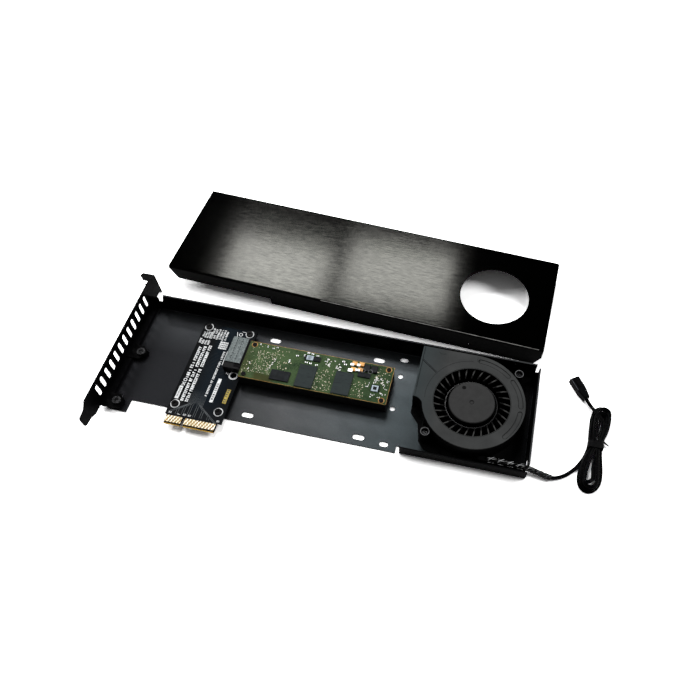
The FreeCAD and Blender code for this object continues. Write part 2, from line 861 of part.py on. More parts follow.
def ear_web(ear):
    """Thin web from a screw ear in to the spiral wall."""
    centre = Vector(blower_x, blower_y, 0)
    inward = (centre - ear).normalize()
    target = centre - inward * (volute_start - housing_wall / 2)
    side = Vector(-inward.y, inward.x, 0) * rib_thickness
    corners = [ear + side, ear - side, target - side, target + side]
    return prism([(corner.x, corner.y) for corner in corners], housing_base, ear_top - housing_base - 0.6)


def ear_ladder(ear):
    """Ribbed arm that runs from the front ear towards the cut-off."""
    left = ear.x - ear_radius + edge_clearance
    top = ear_top - 3 * rib_thickness
    pieces = [box(left, ear.y, housing_base, left + rib_thickness, ear.y + 15.0, top)]
    for index in range(rib_count):
        y = ear.y + ear_radius + 0.5 * rib_pitch + rib_pitch * index
        reach = 4.6 - rib_thickness * index
        pieces.append(box(left, y, housing_base, left + reach, y + rib_thickness, top - 0.6))
    return pieces


def make_blower_housing():
    """Black volute: base plate, spiral wall with its outlet, two screw ears and the wires' way out."""
    rear_ear, front_ear = ear_places()
    step_y = blower_y - cutoff_drop - base_step
    base = prism([
        (outlet_x, blower_rear), (outlet_x, step_y), (outlet_x + 6.4, step_y - 7.8),
        (front_ear.x - 3.6, front_ear.y - 1.6), (front_ear.x + 0.3, blower_front + 1.9),
        (front_ear.x + 5.3, blower_front), (blower_right - base_corner, blower_front),
        (blower_right, blower_front + base_corner), (blower_right, blower_rear),
    ], 0, housing_base)
    height = lid_z - housing_base
    outer = Part.Face(volute_wire(housing_base, 0.0, 0.0)).extrude(Vector(0, 0, height))
    inner = Part.Face(volute_wire(housing_base, housing_wall, 2.0)).extrude(Vector(0, 0, height))
    pieces = [base, outer]
    for ear in (rear_ear, front_ear):
        pieces.append(post(ear.x, ear.y, housing_base, ear_radius, ear_top - housing_base))
        pieces.append(ear_web(ear))
    pieces += ear_ladder(front_ear)
    pieces.append(box(wire_start - exit_length, wires_y - exit_depth / 2, housing_base, wire_start,
                      wires_y + exit_depth / 2, housing_base + exit_height))
    cutters = [inner]
    for ear in (rear_ear, front_ear):
        cutters.append(post(ear.x, ear.y, 0, ear_screw[0] + screw_clearance, ear_top))
        cutters.append(post(ear.x, ear.y, ear_seat, ear_bore, ear_top))
    return join(pieces).cut(cutters).removeSplitter()


def lid_recess(start, end):
    """Shallow arc-shaped recess near the lid's rim, with flat-sided round ends."""
    inner = inlet_radius + recess_inner
    outer = inlet_radius + recess_outer
    middle = (outer + inner) / 2
    z = lid_top - recess_depth
    half = (start + end) / 2
    edges = [
        Part.Arc(around(inner, start, z), around(inner, half, z), around(inner, end, z)).toShape(),
        Part.makeLine(around(inner, end, z), around(outer, end, z)),
        Part.Arc(around(outer, end, z), around(outer, half, z), around(outer, start, z)).toShape(),
        Part.makeLine(around(outer, start, z), around(inner, start, z)),
    ]
    band = Part.Face(Part.Wire(edges)).extrude(Vector(0, 0, 2 * recess_depth))
    ends = [around(middle, angle, z) for angle in (start, end)]
    return join([band] + [post(p.x, p.y, z, (outer - inner) / 2, 2 * recess_depth) for p in ends])


def make_blower_lid():
    """Flat lid with the round inlet, stamped recesses near its rim and a groove across the outlet."""
    lid = Part.Face(volute_wire(lid_z, 0.0, 0.0)).extrude(Vector(0, 0, lid_thickness))
    lid = lid.cut(disc(blower_x, blower_y, lid_z, inlet_radius, lid_thickness))
    floor = lid_top - recess_depth
    above = lid_top + 1
    recesses = [lid_recess(49.0, 88.0), lid_recess(5.0, 40.0), lid_recess(-41.0, -4.0)]
    line_left = outlet_x + 2 * groove_width
    edge_line = box(line_left, blower_y - cutoff_drop + groove_width, floor, line_left + groove_width / 2,
                    blower_rear - groove_width, above)
    groove = box(0, -groove_width / 2, floor, groove_length, groove_width / 2, above)
    groove.rotate(Vector(0, 0, 0), Z_AXIS, -37.0)
    groove.translate(Vector(line_left, blower_rear - 11.3, 0))
    return lid.cut(recesses + [edge_line, groove])


def blade(angle):
    """Backward-leaning blade, bent at its middle."""
    z = disc_top - edge_clearance
    near_side = []
    far_side = []
    tip = impeller_radius - edge_clearance
    for radius in (blade_inner, (blade_inner + tip) / 2, tip):
        drift = math.degrees(math.tan(math.radians(blade_lean)) * math.log(radius / blade_inner))
        half = math.degrees(blade_thickness / 2 / radius)
        near_side.append(around(radius, angle - drift - half, z))
        far_side.append(around(radius, angle - drift + half, z))
    return filled(near_side + far_side[::-1]).extrude(Vector(0, 0, blade_top - z))


def make_impeller():
    """Hub cup, carrier disc and backward-leaning blades, moulded in one."""
    roof = hub_top - hub_wall
    cup = disc(blower_x, blower_y, disc_bottom, hub_radius, hub_top - disc_bottom)
    rim = [edge for edge in cup.Edges if abs(edge.CenterOfMass.z - hub_top) < 0.01]
    cup = cup.makeChamfer(hub_bevel, rim)
    hollow = post(blower_x, blower_y, disc_bottom, hub_radius - hub_wall, roof - disc_bottom)
    boss_z = housing_base + bearing_height + running_gap
    boss = post(blower_x, blower_y, boss_z, boss_radius, roof - boss_z)
    carrier = disc(blower_x, blower_y, disc_bottom, impeller_radius, carrier_thickness)
    carrier = carrier.cut(hollow)
    blades = [blade(360.0 * index / blade_count) for index in range(blade_count)]
    body = join([cup.cut(hollow), carrier, boss] + blades)
    bore_radius = shaft_radius / math.cos(math.pi / fastener_sides)
    shaft_bore = post(blower_x, blower_y, disc_bottom, bore_radius, roof - disc_bottom)
    dimple = post(blower_x, blower_y, hub_top - dimple_depth, dimple_radius, 1.0)
    return body.cut([shaft_bore, dimple]).removeSplitter()


def make_rotor_magnet():
    low = disc_bottom + magnet_lift
    return collar(blower_x, blower_y, low, hub_radius - hub_wall, magnet_inner, magnet_height)


def make_blower_shaft():
    foot = housing_base + shaft_foot
    return disc(blower_x, blower_y, foot, shaft_radius, hub_top - hub_wall - foot)


def make_bearing_sleeve():
    sleeve = post(blower_x, blower_y, housing_base, bearing_radius, bearing_height)
    return sleeve.cut(disc(blower_x, blower_y, housing_base, shaft_radius + shaft_clearance, bearing_height))


def make_motor_circuit():
    """Round circuit board of the blower's motor, on the base."""
    return collar(blower_x, blower_y, housing_base, circuit_radius, bearing_radius, circuit_thickness)


def make_stator_spacer():
    """Insulating collar that holds the stator's core above its circuit board."""
    low = housing_base + circuit_thickness
    return collar(blower_x, blower_y, low, spacer_radius, bearing_radius, spacer_height)


def make_stator_core():
    """Laminated core with wound arms inside the magnet, each ending in a broad shoe."""
    middle = core_z + core_height / 2
    core = collar(blower_x, blower_y, core_z, core_radius, bearing_radius, core_height)
    shoe_outer = (magnet_inner - running_gap) * math.cos(math.pi / fastener_sides)
    end_x = math.sqrt(shoe_outer ** 2 - (shoe_width / 2) ** 2)
    shape = [(shoe_inner, -shoe_width / 4), (end_x, -shoe_width / 2), (shoe_outer, -shoe_width / 6),
             (shoe_outer, shoe_width / 6), (end_x, shoe_width / 2), (shoe_inner, shoe_width / 4)]
    arms = []
    for index in range(arm_count):
        arm = box(core_radius * 0.85, -arm_width / 2, middle - arm_height / 2,
                  shoe_inner + 0.5, arm_width / 2, middle + arm_height / 2)
        shoe = prism(shape, middle - shoe_height / 2, shoe_height)
        arms.append(placed(arm.fuse(shoe), blower_x, blower_y, 0, 360.0 * (index + 0.5) / arm_count))
    return join([core] + arms)


def make_stator_coils():
    """Copper windings, one round each arm."""
    middle = core_z + core_height / 2
    coils = []
    for index in range(arm_count):
        coil = box(coil_inner, -coil_width / 2, middle - coil_height / 2, coil_outer, coil_width / 2,
                   middle + coil_height / 2)
        opening = box(coil_inner - 1, -arm_width / 2, middle - arm_height / 2, coil_outer + 1, arm_width / 2,
                      middle + arm_height / 2)
        coils.append(placed(coil.cut(opening), blower_x, blower_y, 0, 360.0 * (index + 0.5) / arm_count))
    return group(coils)


def make_blower_screws():
    return group([cross_screw(ear.x, ear.y, ear_seat, ear_screw, ear_seat) for ear in ear_places()])


# ---------------------------------------------------------------- cover

def skirt_corners():
    """Cutters for the slanted lower corners of the front and rear skirts."""
    left = [(-1, 0), (skirt_slant_left, 0), (0, cover_height - bend), (-1, cover_height - bend)]
    right = [(cover_length + 1, 0), (cover_length - skirt_slant_right, 0), (cover_length, skirt_slant_height),
             (cover_length + 1, skirt_slant_height)]
    cutters = []
    for y in (-1.0, cover_width - 2 * bend):
        for outline in (left, right):
            corners = [Vector(x, y, z) for x, z in outline]
            cutters.append(filled(corners).extrude(Vector(0, 2 * bend + 2, 0)))
    return cutters


def make_cover():
    """Folded cover, lying open side down: top with the fan hole, and front and rear skirts."""
    plate = box(0, bend, cover_height - sheet, cover_length, cover_width - bend, cover_height)
    front = flange(cover_length, cover_height)
    front.rotate(Vector(0, 0, 0), X_AXIS, 180)
    rear = placed(front, cover_length, cover_width, cover_height, 180)
    front.translate(Vector(0, 0, cover_height))
    cover = join([plate, front, rear])
    cutters = skirt_corners()
    cutters.append(disc(cover_hole_x, cover_hole_y, cover_height - 2 * sheet, cover_hole_radius, 4 * sheet))
    cutters.append(box(-1, -1, -1, finger_gap_length, 2 * bend, finger_gap_height))
    small_hole = post(0, 0, 0, skirt_hole_radius, 3 * sheet)
    small_hole.rotate(Vector(0, 0, 0), X_AXIS, -90)
    small_hole.translate(Vector(cover_length - skirt_hole_inset, -sheet, skirt_hole_height))
    cutters.append(small_hole)
    corner = [(cover_length, cover_width), (cover_length - cover_bevel, cover_width),
              (cover_length, cover_width - cover_bevel)]
    cutters.append(prism([(x + 0.01, y + 0.01) for x, y in corner], cover_height - 2 * sheet, 4 * sheet))
    cover = cover.cut(cutters).removeSplitter()
    return placed(cover, cover_shift, tray_rear + cover_gap, table, cover_turn)


# ---------------------------------------------------------------- wires, sleeve and lead

def make_blower_wires():
    """Three insulated wires from the housing to the sleeve."""
    run = Vector(sleeve_route[0][0] - screw_clearance - wire_start, 0, 0)
    low = housing_base + wire_radius + edge_clearance
    wires = []
    for across, rise in ((-0.5, 0.0), (0.5, 0.0), (0.0, 0.866)):
        start = Vector(wire_start, wires_y + across * wire_pitch, low + rise * wire_pitch)
        wires.append(Part.Face(cord_section(start, run, wire_radius)).extrude(run))
    return group(wires)


def make_hank():
    """Closed solid of the tied hank: two flattened loops with the waist between them."""
    x, y = waist
    outline = [
        (-4.7, 1.6), (-4.3, 9.0), (-4.1, 18.0), (-2.6, 27.4), (2.1, 31.6), (7.4, 29.2), (9.6, 22.6),
        (8.0, 10.5), (4.7, 1.6), (4.7, -3.2), (5.7, -10.0), (6.1, -19.6), (4.0, -29.6), (-2.0, -34.3),
        (-7.9, -32.0), (-10.3, -25.6), (-8.4, -12.0), (-4.7, -3.2),
    ]
    body = prism([(x + px, y + py) for px, py in outline], table, hank_height)
    rims = [edge for edge in body.Edges if edge.BoundBox.ZLength < 0.01]
    body = body.makeChamfer(hank_bevel, rims)
    for dx, dy, length, width, turn in ((-2.2, -18.9, 9.0, 1.7, 85.0), (-0.8, -27.0, 3.6, 1.5, 20.0),
                                        (0.3, 26.3, 4.4, 2.0, 20.0)):
        gap = plain_slot(0, 0, length, width, table - 1, hank_height + 2)
        body = body.cut(placed(gap, x + dx, y + dy, 0, turn))
    return body


def make_hank_tie():
    """Twisted tie round the waist, with its short end standing off."""
    x, y = waist
    half = 4.8
    outer = half + tie_thickness
    front = y - 3.0
    rear = front + tie_width
    outside = box(x - outer, front, table, x + outer, rear, table + hank_height + tie_thickness)
    inside = box(x - half, front - 1, table + tie_thickness, x + half, rear + 1, table + hank_height)
    direction = Vector(0.35, 1.0, 0.1).normalize()
    foot = Vector(x + half + edge_clearance, y - tie_stub_radius, table + hank_height / 2)
    stub = Part.Face(cord_section(foot, direction, tie_stub_radius)).extrude(direction * tie_stub_length)
    return join([outside.cut(inside), stub])


def plug_holes():
    return [side * socket_hole_pitch / 2 for side in (-1, 1)]


def make_plug():
    """Moulded plug at the lead's end: tapered boot, square body, latch rib and two contact holes."""
    boot = plug_boot_width / 2
    half = plug_width / 2
    shape = [(0, -boot), (plug_boot_length, -half), (plug_length, -half), (plug_length, half),
             (plug_boot_length, half), (0, boot)]
    body = prism(shape, 0, plug_height)
    rims = [edge for edge in body.Edges if abs(edge.CenterOfMass.z - plug_height) < 0.01]
    body = body.makeChamfer(plug_bevel, rims)
    rib = box(plug_boot_length + 2.5, -1.1, plug_height - 0.5, plug_length - 1.0, 1.1,
              plug_height + plug_rib_height)
    low = 0.3 * plug_height
    back = plug_length - socket_hole_depth
    side = socket_hole / 2
    holes = [box(back, y - side, low, plug_length + 1, y + side, low + socket_hole) for y in plug_holes()]
    return placed(body.fuse(rib).cut(holes).removeSplitter(), plug_start[0], plug_start[1], table, plug_turn)


def make_plug_contacts():
    """Square sockets that line the plug's holes."""
    low = 0.3 * plug_height
    back = plug_length - socket_hole_depth
    half = socket_hole / 2
    pins = []
    for y in plug_holes():
        shell = box(back, y - half, low, plug_length - contact_recess, y + half, low + socket_hole)
        inner = half - contact_wall
        bore = box(back + 1.0, y - inner, low + contact_wall, plug_length, y + inner,
                   low + socket_hole - contact_wall)
        pins.append(shell.cut(bore))
    return placed(group(pins), plug_start[0], plug_start[1], table, plug_turn)


# ---------------------------------------------------------------- the whole

parts = {
    "tray": make_tray(),
    "io_bracket": make_bracket(),
    "bracket_screws": make_bracket_screws(),
    "cover": make_cover(),
    "adapter_board": make_adapter_board(),
    "edge_contacts": make_edge_contacts(),
    "board_standoffs": make_board_standoffs(),
    "board_screws": make_board_screws(),
    "drive_socket": make_socket(),
    "socket_cap": make_socket_cap(),
    "drive_board": make_drive_board(),
    "drive_support": make_drive_support(),
    "drive_screws": make_drive_screws(),
    "controller_chip": make_controller_chip(),
    "memory_chips": make_memory_chips(),
    "power_chips": make_power_chips(),
    "drive_capacitors": make_drive_capacitors(),
    "drive_inductors": make_drive_inductors(),
    "blower_housing": make_blower_housing(),
    "blower_lid": make_blower_lid(),
    "blower_screws": make_blower_screws(),
    "impeller": make_impeller(),
    "rotor_magnet": make_rotor_magnet(),
    "blower_shaft": make_blower_shaft(),
    "bearing_sleeve": make_bearing_sleeve(),
    "stator_core": make_stator_core(),
    "stator_coils": make_stator_coils(),
    "stator_spacer": make_stator_spacer(),
    "motor_circuit": make_motor_circuit(),
    "blower_wires": make_blower_wires(),
    "wire_sleeve": cord_tube(sleeve_route, sleeve_radius, "wire_sleeve"),
    "blower_lead": cord_tube(lead_route, lead_radius, "blower_lead"),
    "lead_hank": make_hank(),
    "hank_tie": make_hank_tie(),
    "lead_tail": cord_tube(tail_route, lead_radius, "lead_tail"),
    "lead_plug": make_plug(),
    "plug_contacts": make_plug_contacts(),
}
on_the_lead = ("wire_sleeve", "blower_lead", "lead_hank", "hank_tie", "lead_tail", "lead_plug",
               "plug_contacts")

whole = Part.makeCompound([shape for name, shape in parts.items() if name not in on_the_lead]).BoundBox
shift = Vector(-(whole.XMin + whole.XMax) / 2, -(whole.YMin + whole.YMax) / 2, -table)
size = (whole.XLength, whole.YLength, whole.ZLength)
print("moved by", [round(value, 3) for value in shift], "card and cover", [round(value, 2) for value in size])
for name, shape in parts.items():
    finished = shape.copy()
    finished.translate(shift)
    state = "valid" if finished.isValid() else "NOT VALID"
    print(name, len(finished.Solids), "solids", state, round(finished.Volume, 1))
    finished.exportStep("parts/" + name + ".step")
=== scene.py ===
import bmesh
import bpy
import math
import random
from mathutils import Matrix, Vector


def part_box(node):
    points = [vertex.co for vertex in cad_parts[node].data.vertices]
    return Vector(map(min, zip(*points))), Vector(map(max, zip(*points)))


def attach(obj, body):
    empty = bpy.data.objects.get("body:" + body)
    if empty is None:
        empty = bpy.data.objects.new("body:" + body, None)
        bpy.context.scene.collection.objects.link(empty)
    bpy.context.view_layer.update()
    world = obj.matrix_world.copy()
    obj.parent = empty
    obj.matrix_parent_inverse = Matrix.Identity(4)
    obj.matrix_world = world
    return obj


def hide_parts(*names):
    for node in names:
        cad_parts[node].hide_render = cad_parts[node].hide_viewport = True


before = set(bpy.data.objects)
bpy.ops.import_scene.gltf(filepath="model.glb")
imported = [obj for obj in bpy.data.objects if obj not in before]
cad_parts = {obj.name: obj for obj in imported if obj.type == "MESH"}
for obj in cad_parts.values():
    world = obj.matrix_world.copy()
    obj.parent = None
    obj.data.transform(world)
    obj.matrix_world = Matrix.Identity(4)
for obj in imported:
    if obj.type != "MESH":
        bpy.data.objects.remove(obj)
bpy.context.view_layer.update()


# ---- Tray ----
# One folded sheet of steel, a millimetre thick, powder coated a near-black satin that mirrors the lamps
# softly. It carries the bracket, the board with its drive, and the blower.
MM = 0.001
TRAY_LEFT, TRAY_REAR, TRAY_THICK = 1.0, 48.4, 1.0
GRAIN_HEIGHT = 0.1 * MM
tray_low, tray_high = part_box("tray")


def card(x, y, z):
    """A place in metres: x along the card from the bracket, y to the rear, z up from the tray's floor."""
    return Vector((tray_low[0] + (x - TRAY_LEFT) * MM, tray_high[1] + (y - TRAY_REAR) * MM,
                   tray_low[2] + (z + TRAY_THICK) * MM))


def tone(red, green, blue):
    """A colour as a screen shows it, 0 to 255, for a shader."""
    return (*(((level / 255 + 0.055) / 1.055) ** 2.4 if level > 10 else level / 255 / 12.92
              for level in (red, green, blue)), 1)


class Wire:
    """An output of one of a finish's nodes, for sums."""

    def __init__(self, finish, socket):
        self.finish = finish
        self.socket = socket

    def math(self, operation, *values):
        """A sum of this and other values."""
        return self.finish.node("ShaderNodeMath", {"operation": operation}, dict(enumerate(values)))

    def __add__(self, value):
        return self.math("ADD", self, value)

    __radd__ = __add__

    def __sub__(self, value):
        return self.math("SUBTRACT", self, value)

    def __rsub__(self, value):
        return self.math("SUBTRACT", value, self)

    def __mul__(self, value):
        return self.math("MULTIPLY", self, value)

    __rmul__ = __mul__


class Finish:
    """A surface finish with a Principled shader; each of its nodes comes from node()."""

    def __init__(self, name, gloss=0.5, **constants):
        self.material = bpy.data.materials.new(name)
        self.material.use_nodes = True
        self.tree = self.material.node_tree
        self.shader = self.tree.nodes["Principled BSDF"]
        self.shader.inputs["Specular IOR Level"].default_value = gloss
        for socket, value in constants.items():
            self.shader.inputs[socket].default_value = value

    def node(self, kind, settings, sockets, output=0):
        """Adds a node with its settings and its sockets' values or links, and gives one of its outputs."""
        made = self.tree.nodes.new(kind)
        for setting, value in settings.items():
            if setting == "stops":
                ramp = made.color_ramp
                while len(ramp.elements) < len(value):
                    ramp.elements.new(0.5)
                for element, (place, colour) in zip(ramp.elements, value):
                    element.position = place
                    element.color = colour
            else:
                setattr(made, setting, value)
        for socket, value in sockets.items():
            if isinstance(value, Wire):
                self.tree.links.new(value.socket, made.inputs[socket])
            else:
                made.inputs[socket].default_value = value
        return Wire(self, made.outputs[output])

    def drive(self, socket, value):
        """Links a node's output to one of the shader's sockets."""
        self.tree.links.new(value.socket, self.shader.inputs[socket])
        return self

    def place(self, scale=(1, 1, 1), turn=0.0, origin=(0, 0, 0)):
        """Coordinates on the object, moved to an origin, turned and then stretched."""
        at = self.node("ShaderNodeTexCoord", {}, {}, "Object")
        moved = self.node("ShaderNodeVectorMath", {"operation": "SUBTRACT"}, {0: at, 1: origin})
        turned = self.node("ShaderNodeVectorRotate", {"rotation_type": "Z_AXIS"},
                           {"Vector": moved, "Angle": turn})
        return self.node("ShaderNodeVectorMath", {"operation": "MULTIPLY"}, {0: turned, 1: scale})

    def along(self, axis, start, end):
        """0 to 1 between two places on the card's x, y or z axis, in millimetres."""
        part = "xyz".index(axis)
        value = self.node("ShaderNodeSeparateXYZ", {}, {0: self.place()}, part)
        return self.node("ShaderNodeMapRange", {}, {"Value": value, "From Min": card(start, start, start)[part],
                                                    "From Max": card(end, end, end)[part]})

    def noise(self, scale, detail=3.0, vector=None):
        """Soft noise from 0 to 1."""
        return self.node("ShaderNodeTexNoise", {},
                         {"Vector": vector or self.place(), "Scale": scale, "Detail": detail})

    def waves(self, axis, scale, vector=None, **sockets):
        """Bands across an axis, from 0 to 1."""
        return self.node("ShaderNodeTexWave", {"bands_direction": axis},
                         {"Vector": vector or self.place(), "Scale": scale, **sockets})

    def blend(self, factor, low, high):
        """Colour between low and high."""
        return self.node("ShaderNodeMix", {"data_type": "RGBA"}, {"Factor": factor, 6: low, 7: high}, 2)

    def ramp(self, value, *stops):
        """Colour from stops of place and colour."""
        return self.node("ShaderNodeValToRGB", {"stops": stops}, {"Fac": value})

    def between(self, value, low, high, start=0.3, end=0.7):
        """The value's start to end turned into low to high."""
        return self.node("ShaderNodeMapRange", {},
                         {"Value": value, "From Min": start, "From Max": end, "To Min": low, "To Max": high})

    def bump(self, height, strength):
        """Raises the surface by a fine grain."""
        return self.drive("Normal", self.node("ShaderNodeBump", {}, {"Height": height, "Strength": strength,
                                                                     "Distance": GRAIN_HEIGHT}))

    def grained(self, scale, rough, grain_scale, strength):
        """Roughness that drifts from place to place, and a fine grain."""
        self.drive("Roughness", self.between(self.noise(scale), *rough))
        return self.bump(self.noise(grain_scale, 2.0), strength) if strength else self


def dress(finish, *nodes):
    """Gives carried-over CAD nodes their finish."""
    for node in nodes:
        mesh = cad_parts[node].data
        mesh.materials.clear()
        mesh.materials.append(finish.material)


tray_paint = Finish("tray_paint", gloss=0.03)
# The floor is painted lighter towards its middle and, left of the blower, towards the rear, as the lamps'
# reflection. It is painted darker at its left end and round the blower as shade.
painted_floor_light = tray_paint.ramp(tray_paint.along("x", 0, 284), (0.0, tone(24, 24, 26)), (0.2, tone(30, 31, 33)),
                              (0.42, tone(56, 57, 58)), (0.7, tone(47, 52, 54)), (0.93, tone(8, 8, 9)))
rearward = tray_paint.along("y", 12, 46)
before_blower = tray_paint.along("x", 240, 215)
painted_floor_light = tray_paint.blend(rearward * before_blower * 0.5, painted_floor_light, tone(66, 68, 70))
# The walls are painted near black as shade, with a pale band along their top edge painted as a highlight.
wall_mask = tray_paint.along("z", 0.2, 1.2)
painted_edge_highlight_mask = tray_paint.along("z", 16.45, 16.55)
smudge = tray_paint.between(tray_paint.noise(55.0, 6.0, tray_paint.place((1, 2.2, 1), 0.4)), 0, 1, 0.42, 0.62)
speck = tray_paint.between(tray_paint.noise(1400.0, 2.0), 0.0, 1.0, 0.4, 0.7)
floor_tone = tray_paint.blend(smudge * 0.14 + speck * 0.12, painted_floor_light, tone(24, 26, 28))
painted_wall_shade_and_highlight = tray_paint.blend(painted_edge_highlight_mask, tone(2, 2, 3), tone(52, 53, 54))
tray_paint.drive("Base Color", tray_paint.blend(wall_mask, floor_tone, painted_wall_shade_and_highlight))
tray_paint.drive("Metallic", (1 - wall_mask) * 0.75)
tray_paint.drive("Roughness", tray_paint.between(tray_paint.noise(90.0, 4.0), 0.34, 0.38) + wall_mask * 0.2)
tray_paint.bump(tray_paint.noise(2600.0, 2.0), 0.12)
dress(tray_paint, "tray")


# ---- Bracket ----
# A stamped steel slot plate, painted satin black, with twelve slanting vents and two half-hexagon lugs
# folded inwards over the tray's floor.


def mottled(name, dark, light, scale, rough=(0.4, 0.5), grain=0.0, grain_scale=2000.0, **constants):
    """A finish that drifts between two close colours, with fine grain."""
    made = Finish(name, **constants)
    made.drive("Base Color", made.blend(made.between(made.noise(scale), 0, 1), dark, light))
    return made.grained(scale * 3, rough, grain_scale, grain)


bracket_paint = mottled("bracket_paint", tone(1, 1, 1), tone(5, 5, 6), 120.0, (0.4, 0.55), 0.15, gloss=0.02)
dress(bracket_paint, "io_bracket")


def bar(mesh, x0, y0, x1, y1, z0, z1, turn=0.0):
    """A small flat block, turned about its own middle."""
    middle = card((x0 + x1) / 2, (y0 + y1) / 2, (z0 + z1) / 2)
    size = Matrix.Diagonal(((x1 - x0) * MM, (y1 - y0) * MM, (z1 - z0) * MM, 1))
    bmesh.ops.create_cube(mesh, size=1.0,
                          matrix=Matrix.Translation(middle) @ Matrix.Rotation(turn, 4, "Z") @ size)


def riding(name, data, finish, body="card"):
    """Turns a finished mesh into a piece that rides on a body."""
    data.materials.append(finish.material)
    made = bpy.data.objects.new(name, data)
    bpy.context.collection.objects.link(made)
    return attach(made, body)


def piece(name, mesh, finish, body="card"):
    """Turns a bmesh into a piece that rides on a body."""
    bmesh.ops.recalc_face_normals(mesh, faces=mesh.faces)
    data = bpy.data.meshes.new(name)
    mesh.to_mesh(data)
    mesh.free()
    return riding(name, data, finish, body)


# The tray's left edge is turned up under the bracket, and a tab of it closes the rear corner, so no
# light shows between the two.
FLANGE_FOOT = -0.9
flange = bmesh.new()
for x0, y0, x1, y1, top in ((-0.84, -28.8, 0.95, 47.6, 2.14), (0.05, 41.5, 5.2, 47.6, 2.1),
                            (0.05, 47.5, 7.2, 48.3, 12.5), (7.0, 47.5, 12.5, 48.3, 8.2)):
    bar(flange, x0, y0, x1, y1, FLANGE_FOOT, top)
piece("tray_edge_return", flange, bracket_paint)

# Bracket screws: black zinc-plated pan heads with a cross recess, driven through the lugs.
screw_black = mottled("screw_black", tone(14, 14, 15), tone(46, 46, 48), 900.0, (0.22, 0.42), 0.2,
                      Metallic=0.6, gloss=0.5)
dress(screw_black, "bracket_screws")


# ---- Adapter board ----
# A black-masked glass-fibre board on four riveted standoffs. Its mask turns teal where the inner copper
# lies near the surface, and paler over the plain weave at the front.
BOARD_TOP = 5.0
board_mask = Finish("board_mask", gloss=0.03)
across = board_mask.along("x", 45.2, 84.2)
copper_shade = board_mask.ramp(across, (0.0, tone(5, 6, 7)), (0.3, tone(5, 8, 11)), (0.45, tone(8, 19, 27)),
                               (0.75, tone(7, 15, 22)), (1.0, tone(5, 7, 9)))
front = board_mask.along("y", -20, -33)
weave = board_mask.node("ShaderNodeTexBrick", {"offset": 0.5, "squash": 1.0},
                        {"Vector": board_mask.place(), "Color1": tone(30, 32, 34), "Color2": tone(22, 24, 26),
                         "Mortar": tone(12, 13, 15), "Scale": 700.0, "Mortar Size": 0.06})
board_mask.drive("Base Color", board_mask.blend(front * 0.8, copper_shade, weave))
board_mask.grained(300.0, (0.4, 0.55), 1500.0, 0.1)
dress(board_mask, "adapter_board")


def loop_band(mesh, x, y, inner, outer, z0, z1, segments=40):
    """A flat ring."""
    at = Matrix.Translation(card(x, y, z0))
    circle = bmesh.ops.create_circle(mesh, segments=segments, radius=outer * MM, matrix=at)["verts"]
    hollow = bmesh.ops.create_circle(mesh, segments=segments, radius=inner * MM, matrix=at)["verts"]
    edges = list({edge for vertex in circle + hollow for edge in vertex.link_edges})
    faces = bmesh.ops.bridge_loops(mesh, edges=edges)["faces"]
    raised = bmesh.ops.extrude_face_region(mesh, geom=faces)["geom"]
    tops = [part for part in raised if isinstance(part, bmesh.types.BMVert)]
    bmesh.ops.translate(mesh, verts=tops, vec=(0, 0, (z1 - z0) * MM))


def trace(mesh, points, width, z0, z1):
    """A straight-edged track through the points."""
    for (x0, y0), (x1, y1) in zip(points, points[1:]):
        run = math.hypot(x1 - x0, y1 - y0) + width * 0.5
        middle_x, middle_y = (x0 + x1) / 2, (y0 + y1) / 2
        bar(mesh, middle_x - run / 2, middle_y - width / 2, middle_x + run / 2, middle_y + width / 2, z0, z1,
            math.atan2(y1 - y0, x1 - x0))


# Tracks: pairs of copper tracks under the mask, from the socket's feet down to the card edge, where
# they fan out to their contacts.
TRACK_TOP = BOARD_TOP + 0.03
TRACK_WIDE, TRACK_ASIDE = 0.24, 0.34
FIRST_PAIR, PAIR_STEP, FOOT_DROP = 57.9, 1.35, 1.9
tracks = bmesh.new()
fan = [(-9.4, -2.4), (-6.6, -1.6), (-3.9, -0.9), (-1.4, -0.3),
       (1.4, 0.3), (4.6, 1.0), (8.4, 1.9), (12.6, 2.8)]
for pair, (spread, bend_back) in enumerate(fan):
    for side in (-TRACK_ASIDE, TRACK_ASIDE):
        x = FIRST_PAIR + pair * PAIR_STEP + side
        foot = x + spread + side
        head = x + 2.0 + pair * 0.35
        trace(tracks, [(head + 2.6, 16.6 - pair * FOOT_DROP), (head, 14.2 - pair * FOOT_DROP),
                       (x, 10.0 - pair * 1.7), (x, -24.0 - abs(bend_back)),
                       (foot, -25.0 - abs(spread) * 0.9), (foot, -35.2)], TRACK_WIDE, BOARD_TOP, TRACK_TOP)
track_grey = Finish("track_grey", Roughness=0.4, gloss=0.05)
toward_edge = track_grey.along("y", -14, -28)
bare_tone = track_grey.blend(track_grey.noise(300.0), tone(66, 70, 72), tone(104, 108, 110))
track_grey.drive("Base Color", track_grey.blend(toward_edge, tone(16, 22, 27), bare_tone))
piece("board_tracks", tracks, track_grey)

# Printing: white ink that carries no words, only rings, boxes and rows of plain dashes where a maker
# would put its notes. Each dash is a raised film of ink.
INK = 0.05
INK_TOP = BOARD_TOP + INK
ink = bmesh.new()
pick = random.Random(5)
for x, y, inner, outer in ((49.1, -28.0, 2.5, 3.15), (79.4, -28.0, 2.5, 3.15), (49.1, 36.1, 2.4, 3.0),
                           (79.4, 36.1, 2.4, 3.0), (79.4, 1.0, 2.2, 3.25)):
    loop_band(ink, x, y, inner, outer, BOARD_TOP, INK_TOP)


